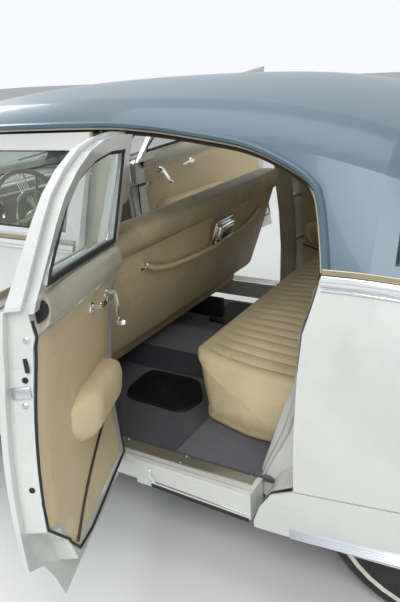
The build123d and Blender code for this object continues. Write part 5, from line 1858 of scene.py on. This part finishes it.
    def pedal(self, name, y, width, height, z):
        """Ribbed pad and the arm that goes down through the floor."""
        turn = Matrix.Rotation(PEDAL_LEAN, 3, "Y")
        centre = Vector((PEDAL_X, y, z))
        pad = rounded_box(centre, (0.012, width, height), 0.005, 3, turn)
        ribs = []
        for step in (-2, -1, 0, 1, 2):
            spot = centre + turn @ Vector((-0.006, 0, step * height / 6))
            ribs.append(rounded_box(spot, (0.004, width * 0.86, 0.005), 0.0015, 2, turn))
        make(f"{name}_pad", joined(pad, *ribs), "mat", "body")
        path = smooth_path([(0.706, y, z - 0.004), (0.760, y, z - 0.040), (0.800, y, 0.240)], 4)
        make(f"{name}_arm", swept(path, rod_section(0.010, 0.004), (0, 0, 1)), "chassis", "body")


# Wheels

RIM_RADIUS = 0.207
# outer half of a tyre: share of its half width and of its radius at the tread, then the same at the shoulder
TREAD_SHARES = ((0.30, 0.999), (0.70, 0.988), (0.83, 0.965), (0.97, 0.90))
# then down the wall to the rim: share of the half width, and height over the rim
WALL_SHARES = ((0.99, 0.075), (0.84, 0.022), (0.62, 0.0))
# where the wheel's face stands, as a share of the tyre's half width
FACE_SHARE = 0.70
# profiles from the face outwards, and radius
TRIM_RING = [(-0.012, 0.206), (0.004, 0.210), (0.010, 0.204), (0.004, 0.186), (-0.014, 0.172)]
WHEEL_DISC = [(-0.045, 0.172), (-0.030, 0.170), (-0.028, 0.140), (-0.016, 0.128)]
HUB_CAP = [
    (-0.018, 0.128), (-0.004, 0.126), (0.006, 0.116), (0.004, 0.100), (0.012, 0.078), (0.024, 0.052),
    (0.030, 0.026), (0.031, TIP),
]
WHITE_LIFT, WHITE_EDGE = 0.0012, 0.003


class WheelSizes(bpy.types.PropertyGroup):
    """Tyres and hub caps."""

    whitewall_outer: FloatProperty(
        name="Whitewall outer", description="Radius where the white band ends", default=0.312, unit="LENGTH",
    )
    whitewall_inner: FloatProperty(
        name="Whitewall inner", description="Radius where the white band begins",
        default=0.296, unit="LENGTH",
    )
    steps: IntProperty(name="Steps", description="Facets round each tyre", default=40, min=12)


class CAR_OT_wheels(bpy.types.Operator):
    """Tyres with a narrow white ring, trim rings and domed hub caps"""

    bl_idname = "car.wheels"
    bl_label = "Wheels"

    def execute(self, context):
        sizes = context.scene.car_wheels
        for key in DOORS:
            self.wheel(key, sizes)
        return {"FINISHED"}

    def white_ring(self, wall, sizes):
        """Profile of the white band, laid just over the tyre's wall, with its two edges sunk in."""
        inner, outer = sizes.whitewall_inner, sizes.whitewall_outer
        band = []
        for radius in (inner, (inner + outer) / 2, outer):
            for (a0, r0), (a1, r1) in zip(wall, wall[1:]):
                if min(r0, r1) <= radius <= max(r0, r1):
                    along = a0 + (a1 - a0) * (radius - r0) / (r1 - r0)
            band.append((along + WHITE_LIFT, radius))
        edges = [(along - WHITE_EDGE, radius) for along, radius in (band[0], band[-1])]
        return [edges[0], *band, edges[1]]

    def wheel(self, key, sizes):
        low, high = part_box(f"tyre_{key}")
        centre = (low + high) / 2
        axis = (0, 1 if key.endswith("left") else -1, 0)
        radius, half = (high.z - low.z) / 2, (high.y - low.y) / 2
        wall = [(half * a, radius * r) for a, r in TREAD_SHARES]
        wall += [(half * a, RIM_RADIUS + rise) for a, rise in WALL_SHARES]
        inner_wall = [(-along, r) for along, r in wall[::-1]]
        body = f"road_wheel_{key}"
        tyre = lathe(inner_wall + wall, centre, axis, sizes.steps)
        make(f"tyre_{key}_shell", tyre, "tyre", body, angle=35.0, replaces=[f"tyre_{key}"])
        ring = lathe(self.white_ring(wall[2:], sizes), centre, axis, sizes.steps)
        make(f"tyre_{key}_white_ring", ring, "whitewall", body)
        face = centre + Vector(axis) * half * FACE_SHARE
        make(f"trim_ring_{key}", lathe(TRIM_RING, face, axis, 44), "chrome", body)
        make(f"wheel_disc_{key}", lathe(WHEEL_DISC, face, axis, 44), "body", body)
        make(f"hub_cap_{key}", lathe(HUB_CAP, face, axis, 44), "chrome", body)


class CAR_PT_panel(bpy.types.Panel):
    """Lists the car's groups of pieces"""

    bl_idname = "CAR_PT_panel"
    bl_label = "Sedan"
    bl_space_type = "VIEW_3D"
    bl_region_type = "UI"
    bl_category = "Sedan"

    def draw(self, context):
        for operator in OPERATORS:
            self.layout.operator(operator.bl_idname)


GROUPS = {
    "car_stage": StageSizes, "car_paint": PaintSizes, "car_outside": OutsideSizes, "car_seats": SeatSizes,
    "car_doors": DoorSizes, "car_jambs": JambSizes, "car_cabin": CabinSizes, "car_wheels": WheelSizes,
}
OPERATORS = [
    CAR_OT_stage, CAR_OT_paint, CAR_OT_outside, CAR_OT_seats, CAR_OT_doors, CAR_OT_jambs, CAR_OT_cabin,
    CAR_OT_wheels,
]


def register():
    for group in GROUPS.values():
        bpy.utils.register_class(group)
    for name, group in GROUPS.items():
        setattr(bpy.types.Scene, name, PointerProperty(type=group))
    for operator in (*OPERATORS, CAR_PT_panel):
        bpy.utils.register_class(operator)


def unregister():
    for operator in (CAR_PT_panel, *reversed(OPERATORS)):
        bpy.utils.unregister_class(operator)
    for name in GROUPS:
        delattr(bpy.types.Scene, name)
    for group in GROUPS.values():
        bpy.utils.unregister_class(group)


def main():
    register()
    for operator in OPERATORS:
        group, name = operator.bl_idname.split(".")
        getattr(getattr(bpy.ops, group), name)()


if __name__ == "__main__":
    main()
